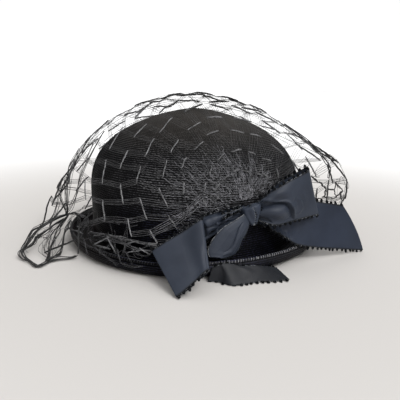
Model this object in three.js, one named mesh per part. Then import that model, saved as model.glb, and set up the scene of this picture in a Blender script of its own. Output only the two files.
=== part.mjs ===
// Tilt hat: straw crown and rolled brim, net veil and ribbon bow. Millimetres, +Z up, front towards -Y.
import * as THREE from "three";

// Driving dimensions of the straw
const CROWN_RADIUS = 90;
const CROWN_HEIGHT = 113;
const CROWN_SHOULDER = 45;
const CROWN_BASE = 8.1;
const CROWN_TAPER = 0.3;
const CROWN_POWER_OUT = 1.5;
const CROWN_POWER_UP = 2.56;
const STRAW = 1.6;
const BRIM_TOP = 7.8;
const BRIM_FILLET = 6;
const BRIM_FLAT = 3;
const BRIM_ROLL = 8;
const BRIM_ROLL_TURN = 82;
const BRIM_LIP = 2.2;
const BRIM_LIP_OUT = 0.3;
const BRIM_WIDER = 2.6;
const BRIM_WIDER_TOWARD = 190;
const BRIM_LIFT = 1.4;
const BRIM_LIFT_FROM = -88;
const BRIM_LIFT_TO = -45;
const BRIM_LIFT_FADE = 13;
const EDGE_BEAD = 1.15;
const STRAW_SIDES = 44;

// Driving dimensions of the ribbon bow, placed on the crown at the front right
const RIBBON = 1.0;
const BOW_AZIMUTH = -65.3;
const BOW_RADIUS = 100;
const KNOT_TOP = 54.8;
const KNOT_LOW = 36.4;
const KNOT_HALF_TOP = 6.1;
const KNOT_HALF_LOW = 3.7;
const KNOT_MIDDLE = -3.7;
const KNOT_HALF_DEPTH = 5.9;
const KNOT_SQUARE = 0.66;
const KNOT_CAP = 0.8;
const KNOT_PLEAT = 0.45;
const KNOT_PLEAT_WAVES = 11;

// Driving dimensions of the veil, measured from a centre inside the crown
const NET = 1.0;
const NET_STRUT = 1.35;
const NET_CENTRE_HEIGHT = 20;
const NET_CLOSE = 3.5;
const NET_LOFT = 10;
const NET_GATHER_CLOSE = 1.3;
const NET_AROUND = 20;
const NET_STICK = 0.3;
const NET_PHASE = 5.5;
const NET_LEAN = 10;
const NET_LEAN_TOWARD = 100;
const NET_RINGS = [8, 11, 14.5, 19, 27, 36, 46, 56, 66.5, 77, 87, 97, 107, 117, 127, 137];
const NET_SOLID_RINGS = 2;
const NET_FLOOR = 0.9;
const NET_GATHER_RISE = 1.6;
const NET_BRIM_RADIUS = 111.5;
const NET_BRIM_HEIGHT = 14.2;

// Where the net puffs away from the crown: middle of the puff, how far it stands off and how far it spreads
const PUFFS = [
  { name: "left", azimuth: 180, rise: -6, depth: 31, across: 30, upward: 24 },
  { name: "right", azimuth: 8, rise: 10, depth: 42, across: 27, upward: 18 },
  { name: "pouch", azimuth: 211, rise: -9, depth: 37, across: 13, upward: 11 },
  { name: "front drape", azimuth: 228, rise: -6, depth: 9, across: 26, upward: 14 },
  { name: "back", azimuth: 95, rise: 8, depth: 10, across: 40, upward: 24 },
];

// Ribbons: rows across the ribbon in order along it. Each edge is [along the tangent, outward, height];
// arc is the turn of the cross-section in degrees, pleat the depth of its gathers
const LOOP_RIGHT = [
  { top: [6.3, 0.0, 52.5], low: [4.5, 0.0, 39.0], arc: 0, pleat: 1.6 },
  { top: [17.3, 3.0, 60.9], low: [16.0, 4.0, 35.3], arc: 20, pleat: 1.0 },
  { top: [26.9, 3.2, 66.0], low: [30.0, 4.6, 36.5], arc: 26, pleat: 0.4 },
  { top: [38.0, 2.5, 69.8], low: [46.0, 3.4, 38.0], arc: 12, pleat: 0.0 },
  { top: [45.8, 1.2, 72.3], low: [57.5, 1.5, 38.2], arc: 0, pleat: 0.0 },
  { top: [47.4, -1.2, 73.4], low: [58.8, -1.0, 38.2], arc: 0, pleat: 0.0 },
  { top: [46.5, -3.8, 74.4], low: [57.5, -3.4, 38.4], arc: 0, pleat: 0.0 },
  { top: [37.2, -6.0, 70.5], low: [44.0, -5.8, 38.5], arc: 0, pleat: 0.0 },
  { top: [25.9, -6.0, 66.0], low: [28.0, -6.0, 38.2], arc: 0, pleat: 0.2 },
  { top: [17.7, -5.4, 60.5], low: [16.4, -5.3, 38.5], arc: 0, pleat: 0.5 },
  { top: [6.3, -3.9, 52.3], low: [4.7, -3.9, 41.0], arc: 0, pleat: 0.9 },
];
const TAIL_RIGHT = [
  { top: [6.0, -7.4, 49.5], low: [4.2, -7.2, 37.0], arc: 0, pleat: 1.1 },
  { top: [18.0, -8.9, 53.0], low: [16.0, -7.6, 31.0], arc: 0, pleat: 0.8 },
  { top: [34.0, -11.0, 51.5], low: [31.0, -4.0, 22.5], arc: 0, pleat: 0.4 },
  { top: [50.0, -9.2, 48.6], low: [41.0, -1.5, 15.6], arc: 0, pleat: 0.0 },
  { top: [64.0, -6.0, 45.2], low: [58.0, 0.4, 11.2], arc: 0, pleat: 0.0 },
  { top: [76.0, -3.2, 43.0], low: [80.0, 0.5, 6.8], arc: 0, pleat: 0.0 },
  { top: [84.2, -1.0, 41.6], low: [109.6, 0.0, 1.1], arc: 0, pleat: 0.0 },
];
const NECK_LEFT = [
  { top: [-6.2, -3.8, 51.8], low: [-4.7, -3.6, 41.0], arc: 0, pleat: 1.3 },
  { top: [-16.0, -5.6, 50.2], low: [-15.5, -5.0, 36.5], arc: 0, pleat: 1.6 },
  { top: [-26.0, -8.0, 48.2], low: [-25.0, -7.0, 30.5], arc: -35, pleat: 1.2 },
  { top: [-36.0, -9.6, 43.0], low: [-33.8, -8.7, 25.5], arc: -30, pleat: 0.2 },
];
const LOOP_LEFT = [
  { top: [-46.0, -10.6, 33.6], low: [-49.1, 17.6, 9.8], arc: 0, pleat: 0.0 },
  { top: [-36.9, -8.2, 39.8], low: [-43.6, 18.2, 14.6], arc: 0, pleat: 0.0 },
  { top: [-36.0, -7.2, 41.3], low: [-43.0, 19.0, 15.9], arc: 0, pleat: 0.0 },
  { top: [-37.3, -6.5, 42.1], low: [-44.6, 19.6, 16.9], arc: 0, pleat: 0.0 },
  { top: [-53.2, -10.4, 32.4], low: [-54.7, 19.2, 9.6], arc: -8, pleat: 0.0 },
  { top: [-68.8, -14.4, 22.6], low: [-64.6, 18.6, 2.4], arc: 0, pleat: 0.0 },
  { top: [-70.2, -15.2, 21.3], low: [-65.9, 18.0, 1.4], arc: 0, pleat: 0.0 },
  { top: [-68.6, -15.9, 20.2], low: [-64.0, 17.6, 1.0], arc: 0, pleat: 0.0 },
  { top: [-52.1, -13.8, 27.4], low: [-52.8, 16.9, 6.3], arc: 0, pleat: 0.0 },
];
const LEAF = [
  { top: [-4.5, 0.9, 45.0], low: [-3.4, 0.9, 37.4], arc: -70, pleat: 0.0 },
  { top: [-15.0, 1.0, 41.0], low: [-5.4, 1.0, 32.0], arc: -75, pleat: 0.0 },
  { top: [-23.6, 0.7, 36.9], low: [-9.1, 0.7, 25.7], arc: -85, pleat: 0.0 },
  { top: [-29.6, 0.2, 31.4], low: [-10.8, 0.2, 20.4], arc: -85, pleat: 0.0 },
  { top: [-33.8, 0.5, 25.5], low: [-14.6, 0.5, 16.2], arc: -80, pleat: 0.0 },
  { top: [-35.4, 1.5, 21.1], low: [-20.2, 2.4, 15.8], arc: -70, pleat: 0.0 },
  { top: [-34.6, 2.5, 17.6], low: [-26.0, 4.2, 16.0], arc: -50, pleat: 0.0 },
];
const TAIL_LOW = [
  { top: [-33.0, 3.5, 10.0], low: [-36.0, 3.0, 0.55], arc: 0, pleat: 0.0 },
  { top: [-28.6, 5.1, 12.0], low: [-30.0, 6.6, 0.55], arc: 0, pleat: 0.0 },
  { top: [-23.5, 6.4, 12.6], low: [-24.0, 15.5, 0.55], arc: 0, pleat: 0.0 },
  { top: [-13.4, 7.5, 9.6], low: [-14.3, 17.0, 0.55], arc: 0, pleat: 0.0 },
  { top: [-0.3, 8.0, 7.7], low: [-4.0, 18.0, 0.55], arc: 0, pleat: 0.0 },
  { top: [9.0, 6.9, 5.3], low: [6.5, 21.4, 0.55], arc: 0, pleat: 0.0 },
  { top: [21.4, 2.6, 0.6], low: [17.8, 23.0, 0.55], arc: 0, pleat: 0.0 },
];

const STRAW_BLACK = new THREE.MeshStandardMaterial({ color: 0x1b1a19, roughness: 0.55 });
const RIBBON_SLATE = new THREE.MeshStandardMaterial({ color: 0x2b2f38, roughness: 0.45 });
const NET_BLACK = new THREE.MeshStandardMaterial({ color: 0x151517, roughness: 0.7 });

const radians = THREE.MathUtils.degToRad;
const degrees = THREE.MathUtils.radToDeg;
const smooth = THREE.MathUtils.smoothstep;
const vector = (x, y, z) => new THREE.Vector3(x, y, z);

// Points and triangles of one closed body
class Skin {
  constructor() {
    this.points = [];
    this.faces = [];
  }
  point(p) {
    this.points.push(p.clone());
    return this.points.length - 1;
  }
  triangle(a, b, c) {
    this.faces.push(a, b, c);
  }
  quad(a, b, c, d) {
    this.triangle(a, b, c);
    this.triangle(a, c, d);
  }
  volume() {
    let sum = 0;
    for (let i = 0; i < this.faces.length; i += 3) {
      const [a, b, c] = this.faces.slice(i, i + 3).map((k) => this.points[k]);
      sum += a.dot(b.clone().cross(c)) / 6;
    }
    return sum;
  }
  mesh(name, material) {
    if (this.volume() < 0) this.faces.reverse();
    const geometry = new THREE.BufferGeometry();
    geometry.setFromPoints(this.points);
    geometry.setIndex(this.faces);
    geometry.computeVertexNormals();
    const mesh = new THREE.Mesh(geometry, material);
    mesh.name = name;
    return mesh;
  }
}

// Closed profile of {out, up} turned round the axis; a profile point on the axis becomes one shared point
function turned(profile, sides, place) {
  const skin = new Skin();
  const rings = profile.map((p) => {
    if (p.out === 0) {
      const middle = skin.point(place(p, 0));
      return Array(sides).fill(middle);
    }
    const ring = [];
    for (let i = 0; i < sides; i += 1) ring.push(skin.point(place(p, (360 * i) / sides)));
    return ring;
  });
  const closed = profile[0].out > 0;
  const spans = closed ? rings.length : rings.length - 1;
  for (let k = 0; k < spans; k += 1) {
    const low = rings[k];
    const high = rings[(k + 1) % rings.length];
    for (let i = 0; i < sides; i += 1) {
      const j = (i + 1) % sides;
      if (low[i] !== low[j]) skin.triangle(low[i], low[j], high[j]);
      if (high[i] !== high[j]) skin.triangle(low[i], high[j], high[i]);
    }
  }
  return skin;
}

function onAxis(p, azimuth) {
  return vector(p.out * Math.cos(radians(azimuth)), p.out * Math.sin(radians(azimuth)), p.up);
}

// Crown
function crownSurface(inset, steps) {
  const points = [];
  for (let i = 0; i <= steps; i += 1) {
    const turn = (Math.PI / 2) * (i / steps);
    const out = (CROWN_RADIUS - inset) * Math.cos(turn) ** (2 / CROWN_POWER_OUT);
    const rise = (CROWN_HEIGHT - inset - CROWN_SHOULDER) * Math.sin(turn) ** (2 / CROWN_POWER_UP);
    points.push({ out: i === steps ? 0 : out, up: CROWN_SHOULDER + rise });
  }
  return points;
}

function crown() {
  const base = CROWN_RADIUS - CROWN_TAPER;
  const outside = [{ out: base, up: CROWN_BASE }, ...crownSurface(0, 11)];
  const inside = [{ out: base - STRAW, up: CROWN_BASE }, ...crownSurface(STRAW, 8)];
  return turned([...inside.reverse(), ...outside], STRAW_SIDES, onAxis).mesh("crown", STRAW_BLACK);
}

// Brim: middle of its thickness, down from the crown, flat on the surface, then rolled up to a short lip;
// facing is the direction of its underside, in degrees from outward
function brimLine() {
  const base = CROWN_RADIUS - CROWN_TAPER - STRAW / 2;
  const floor = STRAW / 2;
  const line = [{ out: base, up: BRIM_TOP, facing: 180 }];
  for (let turn = 0; turn <= 90; turn += 30) {
    const out = base + BRIM_FILLET * (1 - Math.cos(radians(turn)));
    const up = floor + BRIM_FILLET * (1 - Math.sin(radians(turn)));
    line.push({ out, up, facing: 180 + turn });
  }
  const steps = 4;
  for (let step = 0; step <= steps; step += 1) {
    const turn = (BRIM_ROLL_TURN * step) / steps;
    const out = base + BRIM_FILLET + BRIM_FLAT + BRIM_ROLL * Math.sin(radians(turn));
    const up = floor + BRIM_ROLL * (1 - Math.cos(radians(turn)));
    line.push({ out, up, facing: 270 + turn });
  }
  const { out, up, facing } = line[line.length - 1];
  line.push({ out: out + BRIM_LIP_OUT, up: up + BRIM_LIP, facing });
  return line;
}

function brimLift(azimuth) {
  const turn = ((azimuth + 180) % 360) - 180;
  const start = smooth(turn, BRIM_LIFT_FROM - BRIM_LIFT_FADE, BRIM_LIFT_FROM);
  const end = 1 - smooth(turn, BRIM_LIFT_TO, BRIM_LIFT_TO + BRIM_LIFT_FADE);
  return BRIM_LIFT * start * end;
}

// The brim is widest at the left, and lies a little higher where the low tail runs beneath it
function brimWiden(azimuth) {
  return BRIM_WIDER * (0.5 + 0.5 * Math.cos(radians(azimuth - BRIM_WIDER_TOWARD))) ** 1.5;
}

function onBrim(p, azimuth) {
  const free = smooth(p.out, CROWN_RADIUS, CROWN_RADIUS + BRIM_FILLET / 2);
  const spread = smooth(p.out, CROWN_RADIUS + 2, CROWN_RADIUS + BRIM_FILLET + BRIM_FLAT);
  const out = p.out + spread * brimWiden(azimuth);
  return onAxis({ out, up: p.up + free * brimLift(azimuth) }, azimuth);
}

function brim() {
  const line = brimLine();
  const side = (sign) =>
    line.map((p) => ({
      out: p.out + (sign * STRAW * Math.cos(radians(p.facing))) / 2,
      up: p.up + (sign * STRAW * Math.sin(radians(p.facing))) / 2,
    }));
  const profile = [...side(1), ...side(-1).reverse()];
  return turned(profile, STRAW_SIDES, onBrim).mesh("brim", STRAW_BLACK);
}

function brimEdge() {
  const lip = brimLine().pop();
  const middle = { out: lip.out, up: lip.up + EDGE_BEAD + 0.3 };
  const profile = [];
  for (let i = 0; i < 6; i += 1) {
    const turn = radians(60 * i);
    profile.push({ out: middle.out + EDGE_BEAD * Math.cos(turn), up: middle.up + EDGE_BEAD * Math.sin(turn) });
  }
  return turned(profile, STRAW_SIDES, onBrim).mesh("brim_edge", STRAW_BLACK);
}

// Place on the bow: along the tangent at the knot, outward from the crown's axis, and up
function onBow([along, outward, up]) {
  const turn = radians(BOW_AZIMUTH);
  const reach = BOW_RADIUS + outward;
  const x = reach * Math.cos(turn) - along * Math.sin(turn);
  const y = reach * Math.sin(turn) + along * Math.cos(turn);
  return vector(x, y, up);
}

function fromBow(p) {
  const turn = radians(BOW_AZIMUTH);
  const outward = p.x * Math.cos(turn) + p.y * Math.sin(turn) - BOW_RADIUS;
  const along = -p.x * Math.sin(turn) + p.y * Math.cos(turn);
  return { along, outward, up: p.z };
}

// A sheet given as a grid of points, thickened evenly to both sides
function sheet(grid, thickness) {
  const skin = new Skin();
  const rows = grid.length;
  const columns = grid[0].length;
  const normal = (i, j) => {
    const along = grid[Math.min(i + 1, rows - 1)][j].clone().sub(grid[Math.max(i - 1, 0)][j]);
    const across = grid[i][Math.min(j + 1, columns - 1)].clone().sub(grid[i][Math.max(j - 1, 0)]);
    return along.cross(across).normalize();
  };
  const side = (sign) =>
    grid.map((row, i) =>
      row.map((p, j) => skin.point(p.clone().addScaledVector(normal(i, j), (sign * thickness) / 2))),
    );
  const front = side(1);
  const back = side(-1);
  for (let i = 0; i + 1 < rows; i += 1) {
    for (let j = 0; j + 1 < columns; j += 1) {
      skin.quad(front[i][j], front[i + 1][j], front[i + 1][j + 1], front[i][j + 1]);
      skin.quad(back[i][j], back[i][j + 1], back[i + 1][j + 1], back[i + 1][j]);
    }
    skin.quad(front[i][0], back[i][0], back[i + 1][0], front[i + 1][0]);
    const last = columns - 1;
    skin.quad(front[i][last], front[i + 1][last], back[i + 1][last], back[i][last]);
  }
  for (let j = 0; j + 1 < columns; j += 1) {
    const last = rows - 1;
    skin.quad(front[0][j], front[0][j + 1], back[0][j + 1], back[0][j]);
    skin.quad(front[last][j], back[last][j], back[last][j + 1], front[last][j + 1]);
  }
  return skin;
}

// A ribbon through its rows: the edges run as smooth curves, the cross-section is an arc with pleats on it
function ribbon(name, stations, { rows, columns, waves = 2 }) {
  const edge = (key) => new THREE.CatmullRomCurve3(stations.map((s) => onBow(s[key])));
  const top = edge("top");
  const low = edge("low");
  const blend = (key, t) => {
    const place = t * (stations.length - 1);
    const i = Math.min(Math.floor(place), stations.length - 2);
    return THREE.MathUtils.lerp(stations[i][key], stations[i + 1][key], place - i);
  };
  const middle = (t) => top.getPoint(t).lerp(low.getPoint(t), 0.5);
  const grid = [];
  for (let i = 0; i <= rows; i += 1) {
    const t = i / rows;
    const a = top.getPoint(t);
    const b = low.getPoint(t);
    const along = middle(Math.min(t + 0.004, 1)).sub(middle(Math.max(t - 0.004, 0)));
    const across = b.clone().sub(a);
    const out = across.clone().cross(along).normalize();
    const arc = blend("arc", t);
    const half = radians(Math.max(Math.abs(arc), 0.5)) / 2;
    const radius = across.length() / 2 / Math.sin(half);
    const row = [];
    for (let j = 0; j <= columns; j += 1) {
      const v = j / columns;
      const turn = half * (2 * v - 1);
      const p = a.clone().lerp(b, 0.5 + (radius * Math.sin(turn)) / across.length());
      const pleat = blend("pleat", t) * Math.sin(2 * Math.PI * waves * v);
      const bulge = Math.sign(arc) * radius * (Math.cos(turn) - Math.cos(half));
      row.push(p.addScaledVector(out, bulge + pleat));
    }
    grid.push(row);
  }
  return sheet(grid, RIBBON).mesh(name, RIBBON_SLATE);
}

// Knot: a barrel that narrows downward, with upright pleats on its front
function bowKnot() {
  const skin = new Skin();
  const sides = 24;
  const levels = 6;
  const rings = [];
  for (let k = 0; k <= levels; k += 1) {
    const t = k / levels;
    const up = THREE.MathUtils.lerp(KNOT_LOW, KNOT_TOP, t);
    const half = THREE.MathUtils.lerp(KNOT_HALF_LOW, KNOT_HALF_TOP, t);
    const cap = k === 0 || k === levels ? KNOT_CAP : 1;
    const ring = [];
    for (let i = 0; i < sides; i += 1) {
      const turn = (2 * Math.PI * i) / sides;
      const square = (value) => Math.sign(value) * Math.abs(value) ** KNOT_SQUARE;
      const front = Math.max(Math.sin(turn), 0);
      const pleat = KNOT_PLEAT * front * Math.cos(Math.cos(turn) * KNOT_PLEAT_WAVES);
      const along = cap * half * square(Math.cos(turn));
      const outward = KNOT_MIDDLE + cap * KNOT_HALF_DEPTH * square(Math.sin(turn)) + pleat;
      ring.push(skin.point(onBow([along, outward, up])));
    }
    rings.push(ring);
  }
  for (let k = 0; k < levels; k += 1) {
    for (let i = 0; i < sides; i += 1) {
      const j = (i + 1) % sides;
      skin.quad(rings[k][i], rings[k][j], rings[k + 1][j], rings[k + 1][i]);
    }
  }
  const low = skin.point(onBow([0, KNOT_MIDDLE, KNOT_LOW]));
  const high = skin.point(onBow([0, KNOT_MIDDLE, KNOT_TOP]));
  for (let i = 0; i < sides; i += 1) {
    const j = (i + 1) % sides;
    skin.triangle(low, rings[0][j], rings[0][i]);
    skin.triangle(high, rings[levels][i], rings[levels][j]);
  }
  return skin.mesh("bow_knot", RIBBON_SLATE);
}

// Veil: how far the net lies from the centre inside the crown, in a given direction
const netCentre = vector(0, 0, NET_CENTRE_HEIGHT);
const knotDirection = onBow([0, 0, (KNOT_TOP + KNOT_LOW) / 2 + NET_GATHER_RISE])
  .sub(netCentre)
  .normalize();

function turnBetween(a, b) {
  return Math.abs(((a - b + 540) % 360) - 180);
}

function crownOut(up) {
  const share = Math.max(up - CROWN_SHOULDER, 0) / (CROWN_HEIGHT - CROWN_SHOULDER);
  return CROWN_RADIUS * Math.max(1 - share ** CROWN_POWER_UP, 0) ** (1 / CROWN_POWER_OUT);
}

function crownReach(rise) {
  let inside = CROWN_RADIUS / 2;
  let outside = 2 * CROWN_RADIUS;
  for (let i = 0; i < 30; i += 1) {
    const reach = (inside + outside) / 2;
    const covered = reach * Math.cos(rise) < crownOut(NET_CENTRE_HEIGHT + reach * Math.sin(rise));
    if (covered) inside = reach;
    else outside = reach;
  }
  return inside;
}

function netReach(direction) {
  const rise = Math.asin(direction.z);
  const azimuth = (degrees(Math.atan2(direction.y, direction.x)) + 360) % 360;
  const front = smooth(azimuth, 196, 224) * (1 - smooth(azimuth, 318, 344));
  const below = 1 - smooth(degrees(rise), 45, 80);
  let away = NET_CLOSE + NET_LOFT * (1 - front * below);
  for (const puff of PUFFS) {
    const across = turnBetween(azimuth, puff.azimuth) / puff.across;
    const upward = (degrees(rise) - puff.rise) / puff.upward;
    away += puff.depth * Math.exp(-across * across - upward * upward);
  }
  const fromKnot = degrees(direction.angleTo(knotDirection));
  away = THREE.MathUtils.lerp(NET_GATHER_CLOSE, away, smooth(fromKnot, 14, 34));
  return crownReach(rise) + away;
}

// Point of the net by its angle from the knot and its turn round it, 0 to the left and 90 upward
function onNet(fromKnot, around) {
  const right = vector(0, 0, 1).cross(knotDirection).normalize();
  const upward = knotDirection.clone().cross(right).normalize();
  const direction = knotDirection.clone().multiplyScalar(Math.cos(radians(fromKnot)));
  direction.addScaledVector(right, -Math.sin(radians(fromKnot)) * Math.cos(radians(around)));
  direction.addScaledVector(upward, Math.sin(radians(fromKnot)) * Math.sin(radians(around)));
  const p = direction.clone().multiplyScalar(netReach(direction)).add(netCentre);
  p.z = Math.max(p.z, NET_FLOOR);
  return p;
}

// Rings of the net lean away from the knot upward, because the gather pulls hardest at the knot's lower end
function ringFromKnot(ring, around) {
  const base = NET_RINGS[ring];
  return base + NET_LEAN * Math.cos(radians(around - NET_LEAN_TOWARD)) * smooth(base, 8, 27);
}

function netIsClear(p) {
  const bow = fromBow(p);
  const besideBow = bow.outward > -45 && bow.along > -46 && bow.along < 78;
  if (besideBow && p.z < 57 + 0.5 * Math.max(bow.along, 0)) return false;
  return p.z > NET_BRIM_HEIGHT || Math.hypot(p.x, p.y) > NET_BRIM_RADIUS;
}

// Hexagons of the net, as keys of their corners; the corners lie where a stick meets its links
function netCells() {
  const corners = new Map();
  const cells = [];
  const step = 360 / NET_AROUND;
  const corner = (ring, place, end) => {
    const key = `${ring}:${(place + NET_AROUND) % NET_AROUND}:${end}`;
    if (!corners.has(key)) {
      const around = (place + (ring % 2) / 2 + end * NET_STICK) * step + NET_PHASE;
      corners.set(key, onNet(ringFromKnot(ring, around), around));
    }
    return key;
  };
  for (let ring = 1; ring + 1 < NET_RINGS.length; ring += 1) {
    for (let place = 0; place < NET_AROUND; place += 1) {
      const left = ring % 2 ? place - 1 : place;
      const keys = [
        corner(ring - 1, place, -1),
        corner(ring - 1, place, 1),
        corner(ring, left + 1, -1),
        corner(ring + 1, place, 1),
        corner(ring + 1, place, -1),
        corner(ring, left, 1),
      ];
      cells.push({ ring, keys });
    }
  }
  return { corners, cells };
}

function veil() {
  const { corners, cells } = netCells();
  const highest = (keys) => Math.max(...keys.map((k) => corners.get(k).z));
  const wanted = cells.filter(
    ({ keys }) => keys.every((k) => netIsClear(corners.get(k))) && highest(keys) > NET_FLOOR + 3,
  );
  const kept = joined(wanted);
  const normals = new Map();
  const faceNormal = (keys) => {
    const sum = vector(0, 0, 0);
    keys.forEach((k, i) => sum.add(corners.get(k).clone().cross(corners.get(keys[(i + 1) % keys.length]))));
    return sum.normalize();
  };
  for (const { keys } of kept) {
    const n = faceNormal(keys);
    for (const k of keys) normals.set(k, (normals.get(k) ?? vector(0, 0, 0)).add(n));
  }
  const skin = new Skin();
  const shared = new Map();
  const pair = (key) => {
    if (!shared.has(key)) {
      const n = normals.get(key).clone().normalize();
      const p = corners.get(key);
      const front = skin.point(p.clone().addScaledVector(n, NET / 2));
      const back = skin.point(p.clone().addScaledVector(n, -NET / 2));
      shared.set(key, { front, back });
    }
    return shared.get(key);
  };
  const sides = new Map();
  for (const { keys } of kept) {
    keys.forEach((k, i) => {
      const next = keys[(i + 1) % keys.length];
      const name = [k, next].sort().join(" ");
      sides.set(name, (sides.get(name) ?? 0) + 1);
    });
  }
  for (const { ring, keys } of kept) {
    const middle = vector(0, 0, 0);
    for (const k of keys) middle.addScaledVector(corners.get(k), 1 / keys.length);
    const n = faceNormal(keys);
    const outer = keys.map(pair);
    const hole = ring > NET_SOLID_RINGS;
    const rim = hole
      ? keys.map((k) => {
          const inward = middle.clone().sub(corners.get(k));
          const p = corners.get(k).clone().addScaledVector(inward.normalize(), NET_STRUT);
          return {
            front: skin.point(p.clone().addScaledVector(n, NET / 2)),
            back: skin.point(p.clone().addScaledVector(n, -NET / 2)),
          };
        })
      : null;
    const centre = hole
      ? null
      : {
          front: skin.point(middle.clone().addScaledVector(n, NET / 2)),
          back: skin.point(middle.clone().addScaledVector(n, -NET / 2)),
        };
    keys.forEach((k, i) => {
      const j = (i + 1) % keys.length;
      if (hole) {
        skin.quad(outer[i].front, outer[j].front, rim[j].front, rim[i].front);
        skin.quad(outer[i].back, rim[i].back, rim[j].back, outer[j].back);
        skin.quad(rim[i].front, rim[j].front, rim[j].back, rim[i].back);
      } else {
        skin.triangle(outer[i].front, outer[j].front, centre.front);
        skin.triangle(outer[j].back, outer[i].back, centre.back);
      }
      if (sides.get([k, keys[j]].sort().join(" ")) === 1) {
        skin.quad(outer[i].front, outer[i].back, outer[j].back, outer[j].front);
      }
    });
  }
  return skin.mesh("veil", NET_BLACK);
}

// The largest group of hexagons that hang together by their sides
function joined(cells) {
  const bySide = new Map();
  const sideNames = ({ keys }) => keys.map((k, i) => [k, keys[(i + 1) % keys.length]].sort().join(" "));
  cells.forEach((cell, i) => {
    for (const name of sideNames(cell)) bySide.set(name, [...(bySide.get(name) ?? []), i]);
  });
  const seen = new Set();
  let best = [];
  cells.forEach((_, start) => {
    if (seen.has(start)) return;
    const group = [start];
    seen.add(start);
    for (const at of group) {
      for (const name of sideNames(cells[at])) {
        for (const other of bySide.get(name)) {
          if (!seen.has(other)) {
            seen.add(other);
            group.push(other);
          }
        }
      }
    }
    if (group.length > best.length) best = group;
  });
  return best.map((i) => cells[i]);
}

// The whole hat, moved so that the middle of its footprint stands on the origin
const hat = new THREE.Group();
hat.name = "tilt_hat";
hat.add(
  crown(),
  brim(),
  brimEdge(),
  veil(),
  bowKnot(),
  ribbon("bow_loop_right", LOOP_RIGHT, { rows: 28, columns: 6 }),
  ribbon("bow_tail_right", TAIL_RIGHT, { rows: 18, columns: 6 }),
  ribbon("bow_neck_left", NECK_LEFT, { rows: 10, columns: 8, waves: 2 }),
  ribbon("bow_loop_left", LOOP_LEFT, { rows: 26, columns: 4 }),
  ribbon("bow_leaf", LEAF, { rows: 12, columns: 9 }),
  ribbon("bow_tail_low", TAIL_LOW, { rows: 12, columns: 4 }),
);
const box = new THREE.Box3().setFromObject(hat);
hat.position.set(-(box.min.x + box.max.x) / 2, -(box.min.y + box.max.y) / 2, -box.min.z);

export default hat;
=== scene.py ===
# Looks of a tilt hat: straw rows, sewn edge, net veil and picot ribbon bow.
# Shapes are in mm, from the crown's axis and the surface that the hat stands on. Materials read places in m.
import math

import bpy
import numpy as np
from mathutils import Matrix, Vector


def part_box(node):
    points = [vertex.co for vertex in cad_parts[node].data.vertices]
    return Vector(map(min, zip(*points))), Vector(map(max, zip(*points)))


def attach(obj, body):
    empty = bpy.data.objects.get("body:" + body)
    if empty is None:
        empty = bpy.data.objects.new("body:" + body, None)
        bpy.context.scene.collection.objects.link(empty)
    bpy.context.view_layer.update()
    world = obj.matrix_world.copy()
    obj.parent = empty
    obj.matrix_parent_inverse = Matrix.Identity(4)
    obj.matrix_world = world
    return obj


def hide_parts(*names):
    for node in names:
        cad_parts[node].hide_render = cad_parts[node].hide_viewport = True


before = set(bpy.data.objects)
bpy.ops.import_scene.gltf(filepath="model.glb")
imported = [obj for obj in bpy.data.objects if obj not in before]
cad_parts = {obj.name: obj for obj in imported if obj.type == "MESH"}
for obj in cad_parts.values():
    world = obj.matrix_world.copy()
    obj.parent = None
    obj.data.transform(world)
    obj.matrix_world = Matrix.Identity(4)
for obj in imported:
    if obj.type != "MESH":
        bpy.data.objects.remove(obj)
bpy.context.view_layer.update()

MM = 0.001
crown_low, crown_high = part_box("crown")
AXIS = np.array([(crown_low.x + crown_high.x) / 2, (crown_low.y + crown_high.y) / 2, 0.0])
draw = np.random.default_rng(seed=48)
# Height that cloth and thread keep above the surface
LOWEST = 0.06
# Least length that a vector is divided by
TINY = 1e-9

# Crown and brim, with the part's sizes
CROWN_RADIUS = 90.0
CROWN_HEIGHT = 113.0
CROWN_SHOULDER = 45.0
CROWN_BASE = 8.0
CROWN_TAPER = 0.3
CROWN_POWER_OUT = 1.5
CROWN_POWER_UP = 2.56
STRAW = 1.6
BRIM_TOP = 7.9
BRIM_FILLET = 6.0
BRIM_FLAT = 3.0
BRIM_ROLL = 8.0
BRIM_ROLL_TURN = 82.0
BRIM_LIP = 2.2
BRIM_LIP_OUT = 0.3
BRIM_WIDER = 2.6
BRIM_WIDER_FROM = 2.0
BRIM_WIDER_TOWARD = math.radians(190)
BRIM_LOWEST = 0.02
BRIM_LIFT = 1.4
BRIM_LIFT_FROM = -88.0
BRIM_LIFT_TO = -45.0
BRIM_LIFT_FADE = 13.0
EDGE_BEAD = 1.15
EDGE_BEAD_TALL = 1.05
EDGE_GAP = 0.2
EDGE_SIDES = 12
EDGE_STEPS = 220

# Straw rows, which flatten towards the top of the crown
ROW_PITCH = 1.75
ROW_RELIEF = 0.62
ROW_ROUND = 0.8
ROW_LEVEL = 0.55
ROW_FADE = 0.6
ROW_FADE_FROM = 84.0
ROW_FADE_TO = 108.0
CROWN_ROW_POINTS = 4
INSIDE_ROW_POINTS = 2
BRIM_ROW_POINTS = 4
STRAW_STEPS = 160
MERGE_DISTANCE = 2e-6
# Points along the curves that the rows follow
DOME_POINTS = 400
WALL_POINTS = 40
FILLET_POINTS = 24
ROLL_POINTS = 30
BRIM_POINTS = 80
# Unevenness of hand-blocked straw: depth of each wave, waves round the hat, twist per mm of height, phase
STRAW_WAVES = ((0.22, 3, 0.05, 0.6), (0.16, 7, -0.09, 0.0))
EDGE_WAVES = ((0.28, 5, 0.0, 1.0), (0.16, 11, 0.0, 0.0))
# Ranges over which the waves grow: up the wall, out from the top of the crown, and out to the edge
WAVES_UP = (14.0, 30.0)
WAVES_OUT = (10.0, 40.0)
WAVES_EDGE = (99.0, 106.0)

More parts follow.
